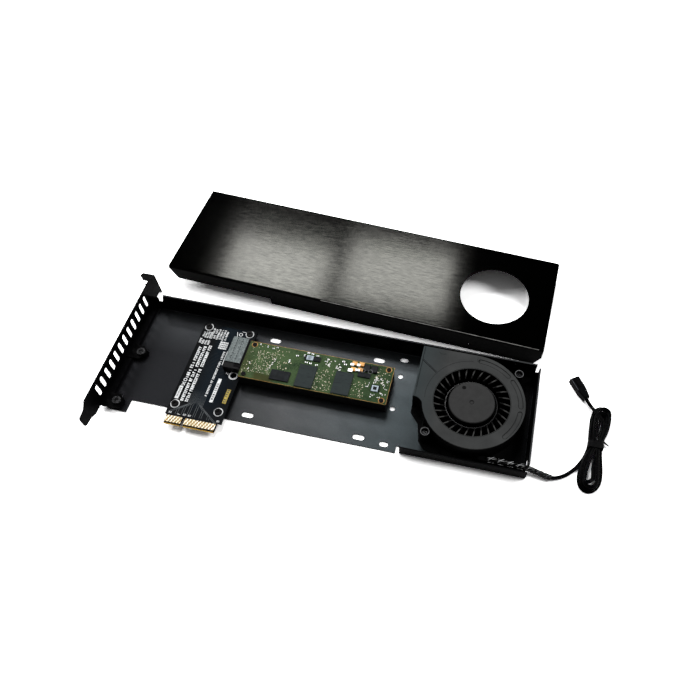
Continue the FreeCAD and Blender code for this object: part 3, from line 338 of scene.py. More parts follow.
def dashes(mesh, x0, x1, y0, y1, step, fill=0.78, z=BOARD_TOP):
    """A row along y of gaps, bent blocks, pairs, short blocks and whole ones, like a line of bold notes."""
    y, wide = y0, x1 - x0
    while y < y1:
        long = step * fill
        kind = pick.random()
        if kind > 0.88:
            y += step * 0.6
            continue
        if kind < 0.34:
            bar(mesh, x0, y, x1, y + long * 0.5, z, z + INK)
            bar(mesh, x0, y + long * 0.5, x0 + wide * 0.4, y + long, z, z + INK)
        elif kind < 0.62:
            bar(mesh, x0, y, x0 + wide * 0.4, y + long, z, z + INK)
            bar(mesh, x0 + wide * 0.6, y, x1, y + long, z, z + INK)
        elif kind < 0.74:
            bar(mesh, x0 + wide * 0.2, y, x1, y + long * 0.55, z, z + INK)
        else:
            bar(mesh, x0, y, x1, y + long, z, z + INK)
        y += step


for x0, x1, y0, y1, step in ((48.0, 50.1, -7.0, 19.5, 1.5), (51.3, 53.4, -25.0, 19.5, 1.45),
                             (54.6, 56.7, -25.0, 20.5, 1.45), (66.1, 67.6, -19.0, 17.5, 1.15)):
    dashes(ink, x0, x1, y0, y1, step)
for rank in range(6):
    dashes(ink, 53.0 + rank * 2.0, 54.3 + rank * 2.0, 27.0 + 0.5 * (rank % 2), 35.6, 1.0, 0.7)
for rank in range(4):
    dashes(ink, 46.3 + rank * 2.1, 47.7 + rank * 2.1, 21.4, 25.4, 1.0, 0.8)
    dashes(ink, 46.9 + rank * 1.7, 48.1 + rank * 1.7, 27.0, 31.6, 1.1, 0.8)
for rank in range(5):
    for row in range(4):
        x, y = 61.3 + rank * 1.22, 20.0 + row * 1.65
        bar(ink, x, y, x + 1.0, y + 1.2, BOARD_TOP, INK_TOP)
for x0, y0, x1, y1, turn in ((47.0, -24.0, 49.5, -14.0, 0.0), (70.6, -22.0, 72.9, -3.3, 0.0),
                             (47.2, -12.4, 50.4, -11.8, 0.8), (47.2, -12.4, 50.4, -11.8, -0.8),
                             (73.4, 37.0, 77.0, 37.3, -0.1), (70.6, 32.0, 71.0, 36.4, 0.3),
                             (74.0, 1.2, 74.5, 2.6, 0.0), (75.0, 0.8, 75.6, 2.2, 0.0),
                             (68.6, 7.6, 69.1, 19.0, 0.0)):
    bar(ink, x0, y0, x1, y1, BOARD_TOP, INK_TOP, turn)
loop_band(ink, 48.8, -9.0, 0.8, 1.3, BOARD_TOP, INK_TOP, 16)
loop_band(ink, 73.2, 34.6, 1.0, 1.4, BOARD_TOP, INK_TOP, 18)
for x in (47.4, 53.6, 57.4, 60.8, 80.6):
    dashes(ink, x, x + 1.9, -35.2, -34.1, 0.7, 0.6)
ink_white = mottled("ink_white", tone(205, 207, 208), tone(236, 238, 238), 700.0, (0.5, 0.65), 0.1, gloss=0.3)
piece("board_printing", ink, ink_white)

# The gold-plated test box, and the dark gaps left in the printed boxes.
gold_box = bmesh.new()
bar(gold_box, 79.3, -21.0, 81.8, -10.0, BOARD_TOP, INK_TOP)
box_gold = mottled("box_gold", tone(118, 102, 40), tone(176, 156, 78), 500.0, (0.4, 0.5), Metallic=0.3,
                   gloss=0.1)
piece("board_gold_box", gold_box, box_gold)
gaps = bmesh.new()
for x0, x1, y0, y1, step in ((47.7, 48.8, -22.4, -15.6, 1.1), (71.1, 72.4, -21.0, -4.4, 1.7),
                             (79.8, 81.3, -20.2, -10.8, 1.6)):
    dashes(gaps, x0, x1, y0, y1, step, 0.6, INK_TOP)
gap_black = mottled("gap_black", tone(12, 13, 15), tone(26, 28, 31), 600.0)
piece("printing_gaps", gaps, gap_black)

# Card-edge contacts: copper pads under thin hard gold, with slanting near-white streaks painted on as
# highlights, fading in patches to plain gold.
contact_gold = Finish("contact_gold", Metallic=0.85)
GLINT_SLANT = 0.42
glint_streaks = contact_gold.waves("X", 157.0, contact_gold.place(turn=GLINT_SLANT),
                            **{"Distortion": 0.8, "Detail": 2.0, "Detail Scale": 3.0})
glint_streak_tone = contact_gold.ramp(glint_streaks, (0.2, tone(104, 74, 40)), (0.45, tone(214, 188, 140)),
                            (0.62, tone(252, 246, 232)))
glint_fade = contact_gold.noise(260.0)
glint_streak_tone = contact_gold.blend(contact_gold.between(glint_fade, 0.0, 0.45), glint_streak_tone, tone(226, 196, 120))
lip_edge = contact_gold.along("y", -41.3, -42.1)
contact_gold.drive("Base Color", contact_gold.blend(lip_edge, glint_streak_tone, tone(198, 156, 48)))
contact_gold.drive("Roughness", contact_gold.between(glint_fade, 0.42, 0.28))
contact_gold.bump(glint_streaks, 0.15)
dress(contact_gold, "edge_contacts")
BEVEL_FRONT, BEVEL_BACK, BEVEL_LOW, BEVEL_HIGH = -42.92, -42.78, 3.5, BOARD_TOP + 0.04
bevels = bmesh.new()
for left, right in ((46.8, 58.0), (60.1, 81.3)):
    bar(bevels, left, BEVEL_FRONT, right, BEVEL_BACK, BEVEL_LOW, BEVEL_HIGH)
bevel_gold = mottled("bevel_gold", tone(150, 112, 30), tone(214, 172, 66), 500.0, (0.35, 0.5), Metallic=0.35,
                     gloss=0.2)
piece("contact_bevels", bevels, bevel_gold)

# Standoffs and board screws: turned steel pillars riveted into the floor, with dark plated screws.
pillar_steel = mottled("pillar_steel", tone(96, 98, 100), tone(150, 152, 154), 500.0, (0.28, 0.42), 0.1,
                       Metallic=0.95)
dress(pillar_steel, "board_standoffs")
screw_dark = mottled("screw_dark", tone(2, 2, 2), tone(9, 9, 10), 900.0, (0.35, 0.5), 0.2, gloss=0.06)
dress(screw_dark, "board_screws")


# ---- Drive socket ----
# A black moulded edge socket soldered along the board's right side, closed by a light stamped cover
# plate whose two rows of windows show the black moulding below.
socket_black = mottled("socket_black", tone(2, 2, 3), tone(8, 8, 9), 400.0, (0.35, 0.5), 0.15, gloss=0.08)
dress(socket_black, "drive_socket")
cap_grey = Finish("cap_grey", Metallic=0.2, gloss=0.08)
speckle = cap_grey.node("ShaderNodeTexVoronoi", {}, {"Vector": cap_grey.place(), "Scale": 2300.0})
fleck = cap_grey.between(cap_grey.noise(1300.0, 4.0), 0, 1, 0.36, 0.66)
cap_tone = cap_grey.blend(speckle, tone(72, 79, 79), tone(94, 101, 101))
cap_grey.drive("Base Color", cap_grey.blend(fleck, cap_tone, tone(122, 129, 129)))
cap_grey.drive("Roughness", cap_grey.between(fleck, 0.7, 0.55, 0, 1))
cap_grey.bump(speckle, 0.3)
dress(cap_grey, "socket_cap")


# ---- Drive ----
# A four-layer green board, 1.2 mm thick, whose bare edge shows a thin line of copper. It stands in the
# socket at its left end and on a block of black foam all along.
DRIVE_TOP = 11.0
DRIVE_LEFT, DRIVE_FRONT, DRIVE_LONG, DRIVE_DEEP = 84.7, -1.7, 102.4, 29.2


def on_drive(along, across):
    """A place on the drive's board by shares of its length and depth."""
    return DRIVE_LEFT + along * DRIVE_LONG, DRIVE_FRONT + across * DRIVE_DEEP


drive_green = Finish("drive_green", gloss=0.03)
patches = drive_green.between(drive_green.noise(110.0, 5.0), 0.0, 1.0, 0.36, 0.64)
veins = drive_green.noise(900.0, 4.0)
leaf = drive_green.blend(patches, tone(34, 50, 31), tone(62, 80, 50))
leaf = drive_green.blend(drive_green.between(veins, 0.0, 0.5), leaf, tone(76, 97, 63))
from_socket = drive_green.along("x", 84.7, 93.5)
olive = (1 - from_socket) * drive_green.between(drive_green.noise(60.0), 0.2, 1.0, 0.35, 0.6)
leaf = drive_green.blend(olive * 0.8, leaf, tone(74, 70, 36))
front_patch = (drive_green.along("x", 93, 96)
               * drive_green.along("x", 110, 106)
               * drive_green.along("y", 4.5, 2.5))
leaf = drive_green.blend(front_patch * 0.75, leaf, tone(56, 54, 26))
right_end = drive_green.along("x", 150, 180)
leaf = drive_green.blend(right_end * 0.45, leaf, tone(30, 50, 28))
# The board's end inside the socket is painted near black as shade.
painted_socket_shade = drive_green.along("x", 84.5, 84.3)
drive_green.drive("Base Color", drive_green.blend(painted_socket_shade, leaf, tone(4, 4, 5)))
drive_green.drive("Roughness", drive_green.between(veins, 0.4, 0.55))
drive_green.bump(veins, 0.12)
dress(drive_green, "drive_board")

# The bare copper edge, and the plated rings round the corner screws.
edge_copper = mottled("edge_copper", tone(104, 76, 40), tone(168, 130, 78), 600.0, (0.4, 0.5), Metallic=0.5,
                      gloss=0.1)
rim = bmesh.new()
COPPER_OUT, COPPER_IN = 0.06, 0.1
left, front = on_drive(0, 0)
right, back = on_drive(1, 1)
for x0, y0, x1, y1 in ((left, front - COPPER_OUT, right, front + COPPER_IN),
                       (left, back - COPPER_IN, right, back + COPPER_OUT),
                       (right - COPPER_IN, front, right + COPPER_OUT, back)):
    bar(rim, x0, y0, x1, y1, DRIVE_TOP - 0.12, DRIVE_TOP + 0.04)
for x, y in ((88.0, 25.1), (183.6, 25.1), (183.6, 0.7)):
    loop_band(rim, x, y, 1.62, 2.15, DRIVE_TOP, DRIVE_TOP + 0.05, 28)
piece("drive_copper_edge", rim, edge_copper)

# Foam block: black closed-cell foam under the whole drive.
foam_black = mottled("foam_black", tone(4, 4, 5), tone(14, 14, 15), 700.0, (0.7, 0.85), 0.5, 1800.0,
                     gloss=0.1)
dress(foam_black, "drive_support")
dress(screw_dark, "drive_screws")

# Packages: moulded epoxy chips, a dull slate grey with a ghost of laser marking that says nothing.
slate = Finish("slate", gloss=0.04)
ghost = slate.between(slate.noise(520.0, 2.0, slate.place((0.5, 1.6, 1))), 0.0, 1.0, 0.6, 0.66)
slate_tone = slate.blend(slate.noise(160.0), tone(40, 46, 46), tone(51, 58, 58))
slate.drive("Base Color", slate.blend(ghost * 0.4, slate_tone, tone(34, 36, 40)))
slate.grained(1500.0, (0.5, 0.66), 2600.0, 0.2)
dress(slate, "memory_chips")
chip_dark = mottled("chip_dark", tone(22, 24, 26), tone(36, 39, 41), 260.0, (0.5, 0.65), 0.2, gloss=0.05)
dress(chip_dark, "controller_chip", "power_chips")

# Capacitors: tantalum blocks with a warm top between tinned ends.
tantalum = mottled("tantalum", tone(196, 126, 38), tone(236, 176, 84), 900.0, (0.4, 0.55), 0.1)
dress(tantalum, "drive_capacitors")
tinned = mottled("tinned", tone(196, 198, 198), tone(246, 247, 246), 1200.0, (0.28, 0.42), 0.1, Metallic=0.35,
                 gloss=0.6)
solder = bmesh.new()
CAPACITOR_END_HIGH = 1.45
for along, across, x0, y0, x1, y1 in (
        (0.717, 0.863, -1.1, -1.0, 1.25, 0.8), (0.764, 0.870, -1.3, -0.8, 0.9, 0.85),
        (0.717, 0.699, -1.65, -1.2, 1.35, 1.1), (0.764, 0.719, -1.5, -0.2, 1.3, 1.2)):
    x, y = on_drive(along, across)
    bar(solder, x + x0, y + y0, x + x1, y + y1, DRIVE_TOP, DRIVE_TOP + CAPACITOR_END_HIGH)

# Inductors: two square shielded coils, near black, with the seam of the shield showing round the top.
coil_black = mottled("coil_black", tone(12, 13, 14), tone(28, 30, 31), 500.0, (0.4, 0.55), 0.2, gloss=0.08)
dress(coil_black, "drive_inductors")
seams = bmesh.new()
for along in (0.799, 0.850):
    x, y = on_drive(along, 0.747)
    loop_band(seams, x, y, 1.35, 1.6, DRIVE_TOP + 1.6, DRIVE_TOP + 1.64, 24)
seam_grey = mottled("seam_grey", tone(58, 60, 62), tone(84, 86, 88), 500.0)
piece("inductor_seams", seams, seam_grey)

# Small parts: chip resistors and capacitors, each a dark or tan body between two tinned ends, in the
# groups in which a drive carries them round its regulators. The shares are of a part's length.
BODY_HALF, END_MIDDLE, END_HALF = 0.3, 0.36, 0.14
bodies = bmesh.new()


def small_part(x, y, long, wide, turn, high=0.45, mesh=None):
    """One chip part with its two ends, along x or turned."""
    bar(mesh or bodies, x - long * BODY_HALF, y - wide / 2, x + long * BODY_HALF, y + wide / 2,
        DRIVE_TOP, DRIVE_TOP + high, turn)
    for way in (-END_MIDDLE, END_MIDDLE):
        end_x, end_y = x + way * long * math.cos(turn), y + way * long * math.sin(turn)
        bar(solder, end_x - long * END_HALF, end_y - wide * 0.54, end_x + long * END_HALF,
            end_y + wide * 0.54, DRIVE_TOP, DRIVE_TOP + high + 0.04, turn)


def scatter(groups):
    """Random places on the drive, each with its number in its group."""
    for count, low_x, high_x, low_y, high_y in groups:
        for nth in range(count):
            yield nth, on_drive(pick.uniform(low_x, high_x), pick.uniform(low_y, high_y))


upright = math.pi / 2
tan_bodies = bmesh.new()
for nth in range(7):
    x, y = on_drive(0.176 + 0.0045 * nth + 0.006 * (nth % 2), 0.32 + 0.05 * nth)
    small_part(x, y, 0.85, 0.45, 0.7 * (nth % 2), mesh=tan_bodies)
for along, across, long, wide, turn in (
        (0.408, 0.962, 1.5, 0.8, 0.0), (0.437, 0.957, 1.6, 0.8, 0.0), (0.474, 0.93, 1.6, 0.7, 0.3),
        (0.412, 0.698, 1.6, 0.9, 0.0), (0.441, 0.69, 1.5, 0.9, 0.0), (0.484, 0.678, 1.6, 0.8, 0.2),
        (0.386, 0.878, 1.3, 0.8, upright), (0.34, 0.83, 1.6, 0.8, 0.2), (0.30, 0.66, 1.4, 0.8, upright),
        (0.655, 0.905, 1.7, 0.9, 0.0), (0.672, 0.84, 1.7, 0.9, 0.0), (0.125, 0.93, 1.2, 0.6, upright),
        (0.165, 0.905, 1.1, 0.6, 0.0), (0.19, 0.95, 1.2, 0.6, 0.0), (0.072, 0.955, 1.0, 0.5, upright),
        (0.30, 0.62, 1.1, 0.6, upright), (0.045, 0.40, 1.0, 0.5, upright), (0.05, 0.25, 1.0, 0.5, upright)):
    small_part(*on_drive(along, across), long, wide, turn)
for nth, (x, y) in scatter(((15, 0.525, 0.605, 0.70, 0.90), (9, 0.615, 0.655, 0.66, 0.84),
                            (26, 0.885, 0.984, 0.47, 0.66), (8, 0.945, 0.984, 0.22, 0.45),
                            (9, 0.885, 0.95, 0.10, 0.2), (4, 0.848, 0.868, 0.36, 0.5))):
    small_part(x, y, pick.uniform(0.62, 0.95), pick.uniform(0.32, 0.48), upright * (nth % 2), 0.35,
               tan_bodies if nth % 3 else None)
part_dark = mottled("part_dark", tone(36, 34, 32), tone(62, 58, 54), 900.0)
part_tan = mottled("part_tan", tone(150, 132, 104), tone(196, 180, 150), 900.0)
piece("small_part_bodies", bodies, part_dark)
piece("small_part_tan_bodies", tan_bodies, part_tan)
piece("small_part_ends", solder, tinned)

# Pads and plated holes: a field of tiny bare pads by the socket and a scatter between the chips.
PAD_TOP = DRIVE_TOP + 0.03
PADS_KEPT = 0.62
pads = bmesh.new()


def pad(x, y, radius):
    """A small six-sided disc of tin."""
    bmesh.ops.create_cone(pads, cap_ends=True, segments=6, radius1=radius * MM, radius2=radius * MM,
                          depth=(PAD_TOP - DRIVE_TOP) * MM,
                          matrix=Matrix.Translation(card(x, y, (DRIVE_TOP + PAD_TOP) / 2)))


for row in range(15):
    for rank in range(12):
        if pick.random() < PADS_KEPT:
            x, y = on_drive(0.078 + 0.0105 * rank + pick.uniform(-0.002, 0.002), 0.20 + 0.041 * row)
            pad(x, y, pick.uniform(0.16, 0.27))
for _, (x, y) in scatter(((70, 0.49, 0.615, 0.05, 0.62), (46, 0.745, 0.84, 0.05, 0.5),
                          (40, 0.01, 0.30, 0.62, 0.97), (26, 0.22, 0.34, 0.3, 0.62),
                          (22, 0.01, 0.07, 0.08, 0.5), (26, 0.88, 0.99, 0.5, 0.95))):
    pad(x, y, pick.uniform(0.12, 0.3))
pad_tin = mottled("pad_tin", tone(168, 152, 116), tone(226, 220, 200), 1500.0, (0.3, 0.5), Metallic=0.4)
piece("drive_pads", pads, pad_tin)

# The two pale packages: a clock chip with a light lid and a sensor with a dark window in a pale frame.
clock_x, clock_y = on_drive(0.428, 0.832)
sensor_x, sensor_y = on_drive(0.906, 0.352)
lids = bmesh.new()
for x, y, half_x, half_y, high in ((clock_x, clock_y, 2.4, 1.8, 0.85), (sensor_x, sensor_y, 2.3, 2.3, 0.92)):
    bar(lids, x - half_x, y - half_y, x + half_x, y + half_y, DRIVE_TOP, DRIVE_TOP + high)
bmesh.ops.bevel(lids, geom=lids.edges[:], offset=0.12 * MM, segments=2, affect="EDGES", profile=0.5,
                material=-1)
lid_pale = mottled("lid_pale", tone(134, 148, 160), tone(180, 192, 200), 700.0, (0.3, 0.45), 0.1, gloss=0.1)
piece("pale_packages", lids, lid_pale)
windows = bmesh.new()
bar(windows, sensor_x - 1.25, sensor_y - 1.25, sensor_x + 1.25, sensor_y + 1.25,
    DRIVE_TOP + 0.9, DRIVE_TOP + 0.97)
for row in range(3):
    bar(windows, clock_x - 1.5, clock_y - 1.0 + row * 0.85, clock_x + 1.2, clock_y - 0.72 + row * 0.85,
        DRIVE_TOP + 0.84, DRIVE_TOP + 0.88)
bar(windows, clock_x + 3.2, clock_y - 1.9, clock_x + 7.4, clock_y + 1.7, DRIVE_TOP, DRIVE_TOP + 0.8)
piece("package_windows", windows, chip_dark)


# ---- Blower ----
# A radial fan: a black moulded spiral housing, a flat grey lid screwed over it, and a one-piece
# impeller with 29 leaning blades round a cup that holds the motor's magnet.
housing_black = mottled("housing_black", tone(2, 2, 2), tone(7, 7, 8), 300.0, (0.55, 0.7), 0.25, gloss=0.03)
dress(housing_black, "blower_housing")
lid_grey = Finish("lid_grey", gloss=0.05)
outlet = lid_grey.along("x", 222, 203)
lid_tone = lid_grey.blend(lid_grey.between(lid_grey.noise(70.0, 4.0), 0, 1), tone(50, 51, 51), tone(60, 61, 61))
lid_grey.drive("Base Color", lid_grey.blend(outlet * 0.7, lid_tone, tone(46, 55, 57)))
lid_grey.grained(800.0, (0.55, 0.7), 2200.0, 0.25)
dress(lid_grey, "blower_lid")
dress(screw_black, "blower_screws")

# Lid lines: dark lines painted as shade along the edges of the lid's stamped recesses and grooves, and pale
# rings painted as highlights on the rims of the screw ears.
BLOWER_X, BLOWER_Y = 242.6, 10.4
LID_TOP = 16.0
LINE_LOW, LINE_HIGH = LID_TOP - 0.25, LID_TOP + 0.02
GROOVE_OUT, GROOVE_MIDDLE, GROOVE_IN, GROOVE_HALF = 33.6, 32.1, 30.6, 1.5
lines = bmesh.new()


def sweep(radius, start, end, x=BLOWER_X, y=BLOWER_Y, step=5):
    """Points along an arc, in degrees."""
    count = max(2, round(abs(end - start) / step))
    turns = [math.radians(start + (end - start) * share / count) for share in range(count + 1)]
    return [(x + radius * math.cos(turn), y + radius * math.sin(turn)) for turn in turns]


for start, end in ((49.0, 88.0), (5.0, 40.0), (-41.0, -4.0)):
    outline = sweep(GROOVE_OUT, start, end)
    for angle, first in ((end, 0), (start, 180)):
        centre = sweep(GROOVE_MIDDLE, angle, angle + 1)[0]
        outline += sweep(GROOVE_HALF, angle + first, angle + first + 180, *centre, step=30)
        outline += sweep(GROOVE_IN, end, start) if angle == end else []
    trace(lines, outline + outline[:1], 0.24, LINE_LOW, LINE_HIGH)
for points in (sweep(31.3, 97, 186), [(204.75, 13.6), (204.75, 46.4)], [(204.6, 35.4), (215.5, 27.2)],
               [(205.1, 36.2), (216.0, 28.0)], [(214.8, 44.0), (216.3, 42.9), (218.4, 42.8), (219.8, 43.6)],
               [(241.6, 42.0), (241.6, 45.4)], [(243.0, 42.0), (243.0, 45.4)], sweep(25.8, 0, 360)):
    trace(lines, points, 0.2, LINE_LOW, LINE_HIGH)
groove_shade_black = mottled("groove_shade_black", tone(10, 11, 11), tone(20, 21, 21), 400.0, (0.5, 0.6), gloss=0.05)
piece("lid_lines", lines, groove_shade_black)
# Pale rings on the rims of the screw ears are painted as highlights.
ears = bmesh.new()
for x, y in ((271.0, 40.3), (216.3, -16.1)):
    loop_band(ears, x, y, 2.55, 2.95, 12.98, 13.03, 32)
ear_rim_highlight = mottled("ear_rim_highlight", tone(62, 63, 64), tone(104, 105, 106), 500.0, (0.4, 0.5), gloss=0.2)
piece("ear_rims", ears, ear_rim_highlight)

# Impeller: grey-black moulded plastic. Its top faces are painted paler as the light on them and the rest near
# black as shade; on top, the hub stays grey, the blades' inner parts are painted dark as shade and their outer
# parts grey.
impeller_grey = Finish("impeller_grey", gloss=0.05)
painted_top_light_mask = impeller_grey.along("z", 13.6, 14.3)
reach = impeller_grey.node("ShaderNodeVectorMath", {"operation": "LENGTH"},
                           {0: impeller_grey.place((1, 1, 0), 0.0, card(BLOWER_X, BLOWER_Y, 0))}, 1)
DECIMETRES = 10.0  # per metre, which makes the stops below radii in decimetres
painted_blade_light_and_shade = impeller_grey.ramp(reach * DECIMETRES, (0.155, tone(55, 55, 55)), (0.16, tone(4, 4, 4)),
                                (0.207, tone(7, 7, 7)), (0.218, tone(62, 62, 61)))
cup_tone = impeller_grey.blend(impeller_grey.noise(240.0, 4.0) * 0.4, painted_blade_light_and_shade, tone(12, 12, 12))
impeller_grey.drive("Base Color", impeller_grey.blend(painted_top_light_mask, tone(4, 4, 4), cup_tone))
impeller_grey.grained(900.0, (0.5, 0.65), 2200.0, 0.2)
dress(impeller_grey, "impeller")

# A polished balancing ring stands round the cup. On the hub's top are a dark round spot, and a fine dark ring
# painted as the shade round the central dimple.
ring = bmesh.new()
loop_band(ring, BLOWER_X, BLOWER_Y, 17.0, 17.5, 5.4, 11.6, 96)
ring_black = mottled("ring_black", tone(20, 20, 21), tone(36, 36, 37), 200.0, (0.12, 0.2), gloss=0.7)
piece("impeller_ring", ring, ring_black, "rotor")
PINHOLE = 0.0001
spot_and_dimple_shade = bmesh.new()
loop_band(spot_and_dimple_shade, 235.9, 20.3, PINHOLE, 1.35, 14.95, 15.04, 24)
loop_band(spot_and_dimple_shade, BLOWER_X, BLOWER_Y, 1.3, 1.55, 15.0, 15.05, 24)
spot_and_dimple_shade_black = mottled("spot_and_dimple_shade_black", tone(5, 5, 5), tone(14, 14, 14), 900.0, gloss=0.03)
piece("impeller_mark", spot_and_dimple_shade, spot_and_dimple_shade_black, "rotor")

# Motor: a ferrite magnet ring in the cup, a ground steel shaft in a bronze sleeve, a stack of silicon
# steel with four copper coils, its plastic spacer, and the green circuit disc below.
dress(mottled("ferrite", tone(36, 36, 38), tone(58, 58, 60), 300.0, (0.45, 0.6), 0.2), "rotor_magnet")
dress(mottled("ground_steel", tone(150, 152, 155), tone(190, 192, 195), 600.0, (0.15, 0.25), Metallic=1.0),
      "blower_shaft")
dress(mottled("bronze", tone(150, 104, 52), tone(188, 140, 80), 500.0, (0.3, 0.42), Metallic=0.95),
      "bearing_sleeve")
laminate = Finish("laminate", Metallic=0.9)
layers = laminate.waves("Z", 900.0)
laminate.drive("Base Color", laminate.blend(layers, tone(84, 88, 94), tone(138, 142, 148)))
laminate.bump(layers, 0.3)
dress(laminate, "stator_core")
winding = Finish("winding", Metallic=0.9)
strands = winding.waves("Z", 1400.0)
winding.drive("Base Color", winding.blend(strands, tone(120, 58, 24), tone(206, 124, 66)))
winding.bump(strands, 0.5)
dress(winding, "stator_coils")
dress(mottled("spacer_cream", tone(176, 170, 150), tone(206, 200, 182), 300.0, (0.5, 0.6)), "stator_spacer")
dress(mottled("circuit_green", tone(20, 62, 36), tone(40, 92, 54), 400.0, (0.3, 0.45)), "motor_circuit")


# ---- Blower lead ----
# Two stranded wires in black insulation. They leave the housing twisted tightly together, run out
# through the tray's window, lie flat side by side, are folded into a small hank and end in a plug.
WIRE = 0.66
wire_black = Finish("wire_black", gloss=0.022)
wire_black.drive("Base Color", wire_black.blend(wire_black.noise(260.0), tone(1, 1, 1), tone(3, 3, 4)))
wire_black.grained(700.0, (0.16, 0.3), 1300.0, 0.12)

# The hank's turns, from the tie up the left side, over the fold, down through the tie and round the
# lower fold, about the tie's middle. Each lies on the last; the first is the widest.
TIE_X, TIE_Y = 327.7, 3.2
turns = (
    ((-3.5, 0.5), (-3.5, 7), (-3.4, 14), (-3.0, 21), (-1.6, 26.8), (1.9, 30.4), (5.8, 29.4), (7.9, 24.4),
     (7.6, 16.5), (5.8, 9.5), (4.0, 3.5), (3.5, -3), (4.2, -10), (4.9, -18), (4.3, -25.6), (0.8, -31.4),
     (-4.2, -33), (-8.4, -29.6), (-9.2, -23), (-7.8, -14.6), (-5.2, -7)),
    ((-3.2, 0), (-3.0, 7), (-2.9, 13), (-2.3, 19), (-2.2, 23.2), (1.4, 25.3), (5.0, 23.2), (5.0, 18.4),
     (3.6, 12.5), (2.4, 7.5), (2.0, 3), (1.9, -3), (2.2, -10), (2.6, -18), (2.6, -25.6), (-0.2, -30.8),
     (-4.6, -31.2), (-7.4, -27.2), (-7.5, -20.6), (-6.2, -13.5), (-3.8, -6)),
    ((-1.7, 0), (-0.6, 7), (0.8, 13), (1.1, 19.5), (1.1, 23.4), (1.1, 27.4), (4.6, 29.5), (8.15, 27.4),
     (8.1, 22.8), (7.7, 17.6), (6.7, 12), (4.6, 6), (2.2, 1.5), (1.2, -3), (0.4, -9), (-0.8, -15),
     (-0.7, -20.8), (-0.7, -25.2), (-4.4, -27.4), (-8.1, -25.2), (-8.1, -19.5), (-7.0, -13),
     (-4.9, -7.5), (-2.6, -3)),
    ((-1.4, 1), (-1.1, 7), (-1.3, 13), (-0.9, 18.2), (-0.7, 22.9), (3.0, 25.1), (6.7, 22.9), (6.6, 18.2),
     (6.0, 13), (4.6, 7.5), (2.2, 2.5), (1.1, -2.5), (1.0, -9), (1.2, -15.5), (1.5, -22.4), (1.5, -28.7),
     (-2.35, -30.9), (-6.2, -28.7), (-6.1, -23.2), (-4.6, -15.5), (-2.8, -8.5), (-1.2, -3)),
)
WIRE_LIES, LAYER_STEP = -0.33, 1.2
route = [(257.8, -22.6, 3.8), (264.0, -22.7, 3.8), (274.0, -22.8, 3.8), (283.0, -22.9, 3.6),
         (291.5, -24.0, 2.4), (299.2, -25.6, 1.4), (304.3, -24.6, 0.2), (309.8, -21.5, -0.32),
         (315.0, -16.6, WIRE_LIES), (319.2, -10.6, WIRE_LIES), (322.2, -4.6, WIRE_LIES)]
for layer, turn in enumerate(turns):
    for x, y in turn:
        route.append((TIE_X + x, TIE_Y + y, WIRE_LIES + LAYER_STEP * layer))
PLUG_X, PLUG_Y = 319.6, 37.8
route += [(328.3, 4.4, 3.4), (330.2, 10.0, 3.5), (331.3, 16.5, 3.5), (330.8, 22.2, 3.5), (327.6, 27.4, 2.6),
          (323.8, 31.6, 1.3), (320.9, 35.6, 1.3), (PLUG_X, PLUG_Y, 1.5)]


def curve_mesh(name, curve):
    """The mesh that a curve makes."""
    holder = bpy.data.objects.new(name, curve)
    bpy.context.collection.objects.link(holder)
    data = bpy.data.meshes.new_from_object(holder)
    bpy.data.objects.remove(holder)
    return data


def centre_line(name, places):
    """Points along a smooth spline that has the places as its control points."""
    curve = bpy.data.curves.new(name, "CURVE")
    curve.dimensions = "3D"
    spline = curve.splines.new("NURBS")
    spline.points.add(len(places) - 1)
    for point, place in zip(spline.points, places):
        point.co = (*card(*place), 1)
    spline.order_u = 3
    spline.use_endpoint_u = True
    spline.resolution_u = 6
    return [vertex.co.copy() for vertex in curve_mesh(name, curve).vertices]


def strands_along(name, line, finish, count, radius, out, lay=0.0):
    """Round strands set out from a line, with one twist in each lay or none, as one piece."""
    curve = bpy.data.curves.new(name, "CURVE")
    curve.dimensions = "3D"
    curve.bevel_depth = radius * MM
    curve.bevel_resolution = 3
    curve.use_fill_caps = True
    for strand in range(count):
        spline = curve.splines.new("POLY")
        spline.points.add(len(line) - 1)
        run = 0.0
        for at, middle in enumerate(line):
            ahead = (line[min(at + 1, len(line) - 1)] - line[max(at - 1, 0)]).normalized()
            side = ahead.cross(Vector((0, 0, 1))).normalized()
            if at:
                run += (middle - line[at - 1]).length
            angle = 2 * math.pi * (strand / count + (run / (lay * MM) if lay else 0.0))
            way = math.cos(angle) * side + math.sin(angle) * side.cross(ahead)
            spline.points[at].co = (*(middle + out * MM * way), 1)
    data = curve_mesh(name, curve)
    data.materials.clear()
    return riding(name, data, finish)


lead_line = centre_line("lead_route", route)
lead = strands_along("blower_lead_wires", lead_line, wire_black, count=2, radius=WIRE, out=WIRE)
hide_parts("blower_lead", "lead_hank", "lead_tail")

# Twisted stretch: the pair under its glossy braided sleeve. Its glints are painted on as pale threads: two wind
# round with the braid, four more run straight along it, all broken into dark dashes at even steps and painted
# dimmer beyond the tray's window.
TWIST_END = 301.5
twist_line = [place for place in lead_line if place.x < card(TWIST_END, 0, 0).x]
twist_steps = []
for start, end in zip(twist_line, twist_line[1:]):
    twist_steps += [start.lerp(end, share / 4) for share in range(4)]
twist_steps += twist_line[-1:]
sleeve_black = mottled("sleeve_black", tone(2, 2, 2), tone(6, 6, 7), 500.0, (0.12, 0.22), 0.1, gloss=0.25)
twist = strands_along("twisted_wires", twist_steps, sleeve_black, count=4, radius=1.0, out=1.0,
                      lay=15.0)
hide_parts("blower_wires", "wire_sleeve")
sleeve_glint_pale = Finish("sleeve_glint_pale", Roughness=0.35, gloss=0.1)
glint_fade = sleeve_glint_pale.along("x", 276, 292)
glint_dash = sleeve_glint_pale.between(sleeve_glint_pale.waves("X", 50.0), 0, 1, 0.25, 0.35)
glint_tone = sleeve_glint_pale.blend(glint_fade, tone(205, 207, 208), tone(92, 94, 96))
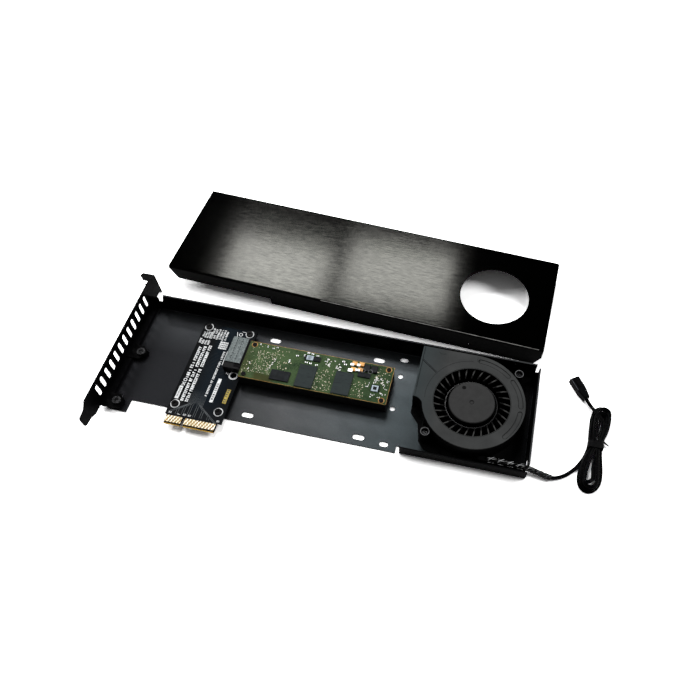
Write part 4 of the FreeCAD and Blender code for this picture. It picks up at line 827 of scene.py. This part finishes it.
sleeve_glint_pale.drive("Base Color", sleeve_glint_pale.blend(glint_dash, tone(10, 10, 11), glint_tone))
sleeve_glints = strands_along("sleeve_glint_threads", twist_steps, sleeve_glint_pale, count=2, radius=0.16, out=1.9,
                       lay=12.6)
sleeve_glints_back = strands_along("sleeve_glint_threads_back", twist_steps, sleeve_glint_pale, count=4, radius=0.15,
                            out=1.88)

# Tie: a strip of soft black plastic wound round the hank's waist and twisted shut at the right.
TABLE_TOP = -1.0
TIE_LAPS, LAP_STEP, LAP_WAVE, TIE_CLEAR = 7, 0.72, 0.24, 0.02 * MM
SQUARE_ACROSS, SQUARE_UP = 0.55, 0.6
tie_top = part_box("hank_tie")[1].z
band = bmesh.new()
half_x, half_z = 5.3 * MM, (tie_top - card(0, 0, TABLE_TOP).z) / 2 - TIE_CLEAR
middle = card(TIE_X, TIE_Y, TABLE_TOP) + Vector((0, 0, half_z + TIE_CLEAR))
rounds = []
for lap in range(TIE_LAPS):
    rounds.append(bmesh.ops.create_circle(band, segments=44, radius=1.0)["verts"])
    for vertex in rounds[-1]:
        across, up = vertex.co.x, vertex.co.y
        wave = LAP_WAVE * math.sin(3 * math.atan2(up, across) + lap)
        swell = 1.0 - 0.035 * (lap % 2) - (0.05 if lap in (0, TIE_LAPS - 1) else 0.0)
        vertex.co = middle + Vector((math.copysign(abs(across) ** SQUARE_ACROSS, across) * half_x * swell,
                                     ((lap - TIE_LAPS // 2) * LAP_STEP + wave) * MM,
                                     math.copysign(abs(up) ** SQUARE_UP, up) * half_z * swell))
for first, second in zip(rounds, rounds[1:]):
    both = first + second
    bmesh.ops.bridge_loops(band, edges=list({edge for vertex in both for edge in vertex.link_edges
                                             if edge.other_vert(vertex) in both}))
bmesh.ops.create_cone(band, cap_ends=True, segments=10, radius1=0.75 * MM, radius2=0.5 * MM, depth=5.4 * MM,
                      matrix=Matrix.Translation(card(TIE_X + 6.6, TIE_Y + 3.4, 0.9))
                      @ Matrix.Rotation(-0.6, 4, "Z") @ Matrix.Rotation(math.pi / 2, 4, "Y"))
tie_black = mottled("tie_black", tone(2, 2, 2), tone(6, 6, 7), 500.0, (0.45, 0.6), 0.3, 900.0, gloss=0.05)
tie = piece("hank_tie_strip", band, tie_black)
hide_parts("hank_tie")

# Plug: a two-way black connector with a tapered boot. Pale lines along its top edges and pale tops on four ribs
# of its boot are painted as highlights.
plug_black = mottled("plug_black", tone(2, 2, 3), tone(6, 6, 8), 300.0, (0.35, 0.5), 0.2, gloss=0.03)
dress(plug_black, "lead_plug")
dress(mottled("contact_brass", tone(176, 148, 84), tone(214, 190, 124), 600.0, (0.25, 0.4), Metallic=0.95),
      "plug_contacts")
PLUG_TURN = math.radians(123.9)
edges = bmesh.new()


def plug_bar(x0, y0, x1, y1, z0, z1):
    """A block along the plug: x from its cord end, y from its middle."""
    x, y = (x0 + x1) / 2, (y0 + y1) / 2
    at_x = PLUG_X + x * math.cos(PLUG_TURN) - y * math.sin(PLUG_TURN)
    at_y = PLUG_Y + x * math.sin(PLUG_TURN) + y * math.cos(PLUG_TURN)
    bar(edges, at_x - (x1 - x0) / 2, at_y - (y1 - y0) / 2, at_x + (x1 - x0) / 2, at_y + (y1 - y0) / 2,
        z0, z1, PLUG_TURN)


for y0, y1 in ((-3.05, -2.75), (2.75, 3.05)):
    plug_bar(7.0, y0, 16.6, y1, 3.9, 4.12)
RIB_STEP = 1.35
for rib in range(4):
    half_wide = 1.75 + 0.16 * rib
    plug_bar(1.0 + rib * RIB_STEP, -half_wide, 1.5 + rib * RIB_STEP, half_wide, 3.1, 3.45 + 0.06 * rib)
plug_edge_highlight = mottled("plug_edge_highlight", tone(44, 46, 52), tone(80, 84, 92), 300.0, (0.25, 0.35))
trim = piece("plug_edge_highlights", edges, plug_edge_highlight)
card(257.8, -22.6, 3.8)


# ---- Cover ----
# A folded steel lid, painted satin black over a fine grain brushed along its length. It lies behind the
# tray, turned a little, with a round hole for the blower's inlet.
COVER_TURN = math.radians(2.98)
COVER_X, COVER_Y = 5.55, 74.2
cover_paint = Finish("cover_paint", gloss=0.02)
corner = card(COVER_X, COVER_Y, 0)
top_face = cover_paint.along("z", 16.5, 16.85)
grain = cover_paint.noise(1.0, 4.0, cover_paint.place((200, 1700, 200), COVER_TURN, corner))
coarse = cover_paint.noise(1.0, 2.0, cover_paint.place((9, 120, 9), COVER_TURN, corner))
# Only the top face is brushed metal; the skirts are painted near black as shade, and the top is painted darker
# towards both ends as shade.
brushed = cover_paint.blend(cover_paint.between(grain, 0, 1), tone(20, 20, 19), tone(37, 37, 35))
for pale, dark in ((47, 24), (212, 228)):
    brushed = cover_paint.blend(cover_paint.along("x", pale, dark), brushed, tone(3, 3, 3))
cover_paint.drive("Base Color", cover_paint.blend(top_face, tone(1, 1, 1), brushed))
cover_paint.drive("Metallic", top_face)
brush_rough = cover_paint.between(grain * 0.75 + coarse * 0.25, 0.1, 0.15)
cover_paint.drive("Roughness", brush_rough + (1 - top_face) * 0.35)
cover_paint.bump(grain, 0.07)
dress(cover_paint, "cover")

# A fine pale line along the front bend is painted on as the bend's highlight.
bend = bmesh.new()


def on_cover(x, y):
    """A place on the card from one on the cover."""
    return (COVER_X + x * math.cos(COVER_TURN) + y * math.sin(COVER_TURN),
            COVER_Y - x * math.sin(COVER_TURN) + y * math.cos(COVER_TURN))


trace(bend, [on_cover(x, 0.42) for x in (118.0, 200.0, 276.5)], 0.3, 16.2, 16.72)
bend_highlight_grey = mottled("bend_highlight_grey", tone(84, 84, 82), tone(150, 150, 147), 160.0, (0.4, 0.5), gloss=0.1)
piece("cover_bend_highlight", bend, bend_highlight_grey)


# ---- Table ----
# A pale matt table top, which takes the card's shadow. It shows white to the eye and in glossy surfaces,
# without throwing more light on the card.
table_mesh = bmesh.new()
TABLE_REACH = 3.0
bmesh.ops.create_grid(table_mesh, x_segments=1, y_segments=1, size=TABLE_REACH)
table_data = bpy.data.meshes.new("table")
table_mesh.to_mesh(table_data)
table_mesh.free()
table = bpy.data.objects.new("table", table_data)
bpy.context.collection.objects.link(table)
table_white = Finish("table_white", Roughness=0.8, gloss=0.0)
paper = table_white.blend(table_white.noise(3.0), tone(238, 238, 238), tone(240, 240, 240))
IN_GLOSS = 0.3
BEYOND_WHITE = (2.2, 2.2, 2.2, 1)
seen = (table_white.node("ShaderNodeLightPath", {}, {}, "Is Camera Ray")
        + table_white.node("ShaderNodeLightPath", {}, {}, "Is Glossy Ray") * IN_GLOSS)
table_white.drive("Base Color", table_white.blend(seen, paper, BEYOND_WHITE))
table_data.materials.append(table_white.material)


# ---- Lights ----
# Two panels hang side by side over the far side of the table, with a narrow gap that shows as a dark
# band in the cover's gloss. A broad panel in front, one at each side and a dim surround fill the shadows.


def panel(name, centre, target, width, depth, power):
    """A lamp panel that faces a target."""
    lamp = bpy.data.lights.new(name, "AREA")
    lamp.shape = "RECTANGLE"
    lamp.size = width
    lamp.size_y = depth
    lamp.energy = power
    holder = bpy.data.objects.new(name, lamp)
    turned = (Vector(target) - Vector(centre)).to_track_quat("-Z", "Y").to_matrix().to_4x4()
    holder.matrix_world = Matrix.Translation(centre) @ turned
    bpy.context.collection.objects.link(holder)


PANEL_HEIGHT = 1000
for name, left, right, low, high, power in (("panel_left", -455, -180, 770, 965, 5.4),
                                            ("panel_right", -132, 152, 815, 1015, 5.1),
                                            ("panel_front", -230, 140, 420, 690, 3.5)):
    centre = card((left + right) / 2, (low + high) / 2, PANEL_HEIGHT)
    panel(name, centre, centre - Vector((0, 0, 1)), (right - left) * MM, (high - low) * MM, power)
for name, x in (("panel_east", 1000), ("panel_west", -850)):
    panel(name, card(x, 300, 900), card(140, 20, 0), width=0.6, depth=0.5, power=8.0)
surround = bpy.data.worlds.new("surround")
surround.use_nodes = True
surround.node_tree.nodes["Background"].inputs["Color"].default_value = (1, 1, 1, 1)
surround.node_tree.nodes["Background"].inputs["Strength"].default_value = 0.12
bpy.context.scene.world = surround
bpy.context.scene.view_settings.view_transform = "Standard"


# ---- Camera ----
# High in front of the card's middle, a little to the right, with a slight tilt. A small lens shift sets
# the card in the frame.
azimuth, elevation, roll = (math.radians(angle) for angle in (9.824, 59.177, 2.366))
backward = Vector((math.sin(azimuth) * math.cos(elevation), -math.cos(azimuth) * math.cos(elevation),
                   math.sin(elevation)))
level = (-backward).cross(Vector((0, 0, 1))).normalized()
upward = level.cross(-backward)
sideways = math.cos(roll) * level + math.sin(roll) * upward
head = math.cos(roll) * upward - math.sin(roll) * level
camera = bpy.data.objects.new("camera", bpy.data.cameras.new("camera"))
camera.matrix_world = (Matrix.Translation(card(232.69, -197.69, 380.36))
                       @ Matrix((sideways, head, backward)).transposed().to_4x4())
camera.data.sensor_width = 36.0
camera.data.lens = 32.673
camera.data.shift_x = -0.07695
camera.data.shift_y = 0.04317
camera.data.clip_start = 0.01
bpy.context.collection.objects.link(camera)
bpy.context.scene.camera = camera
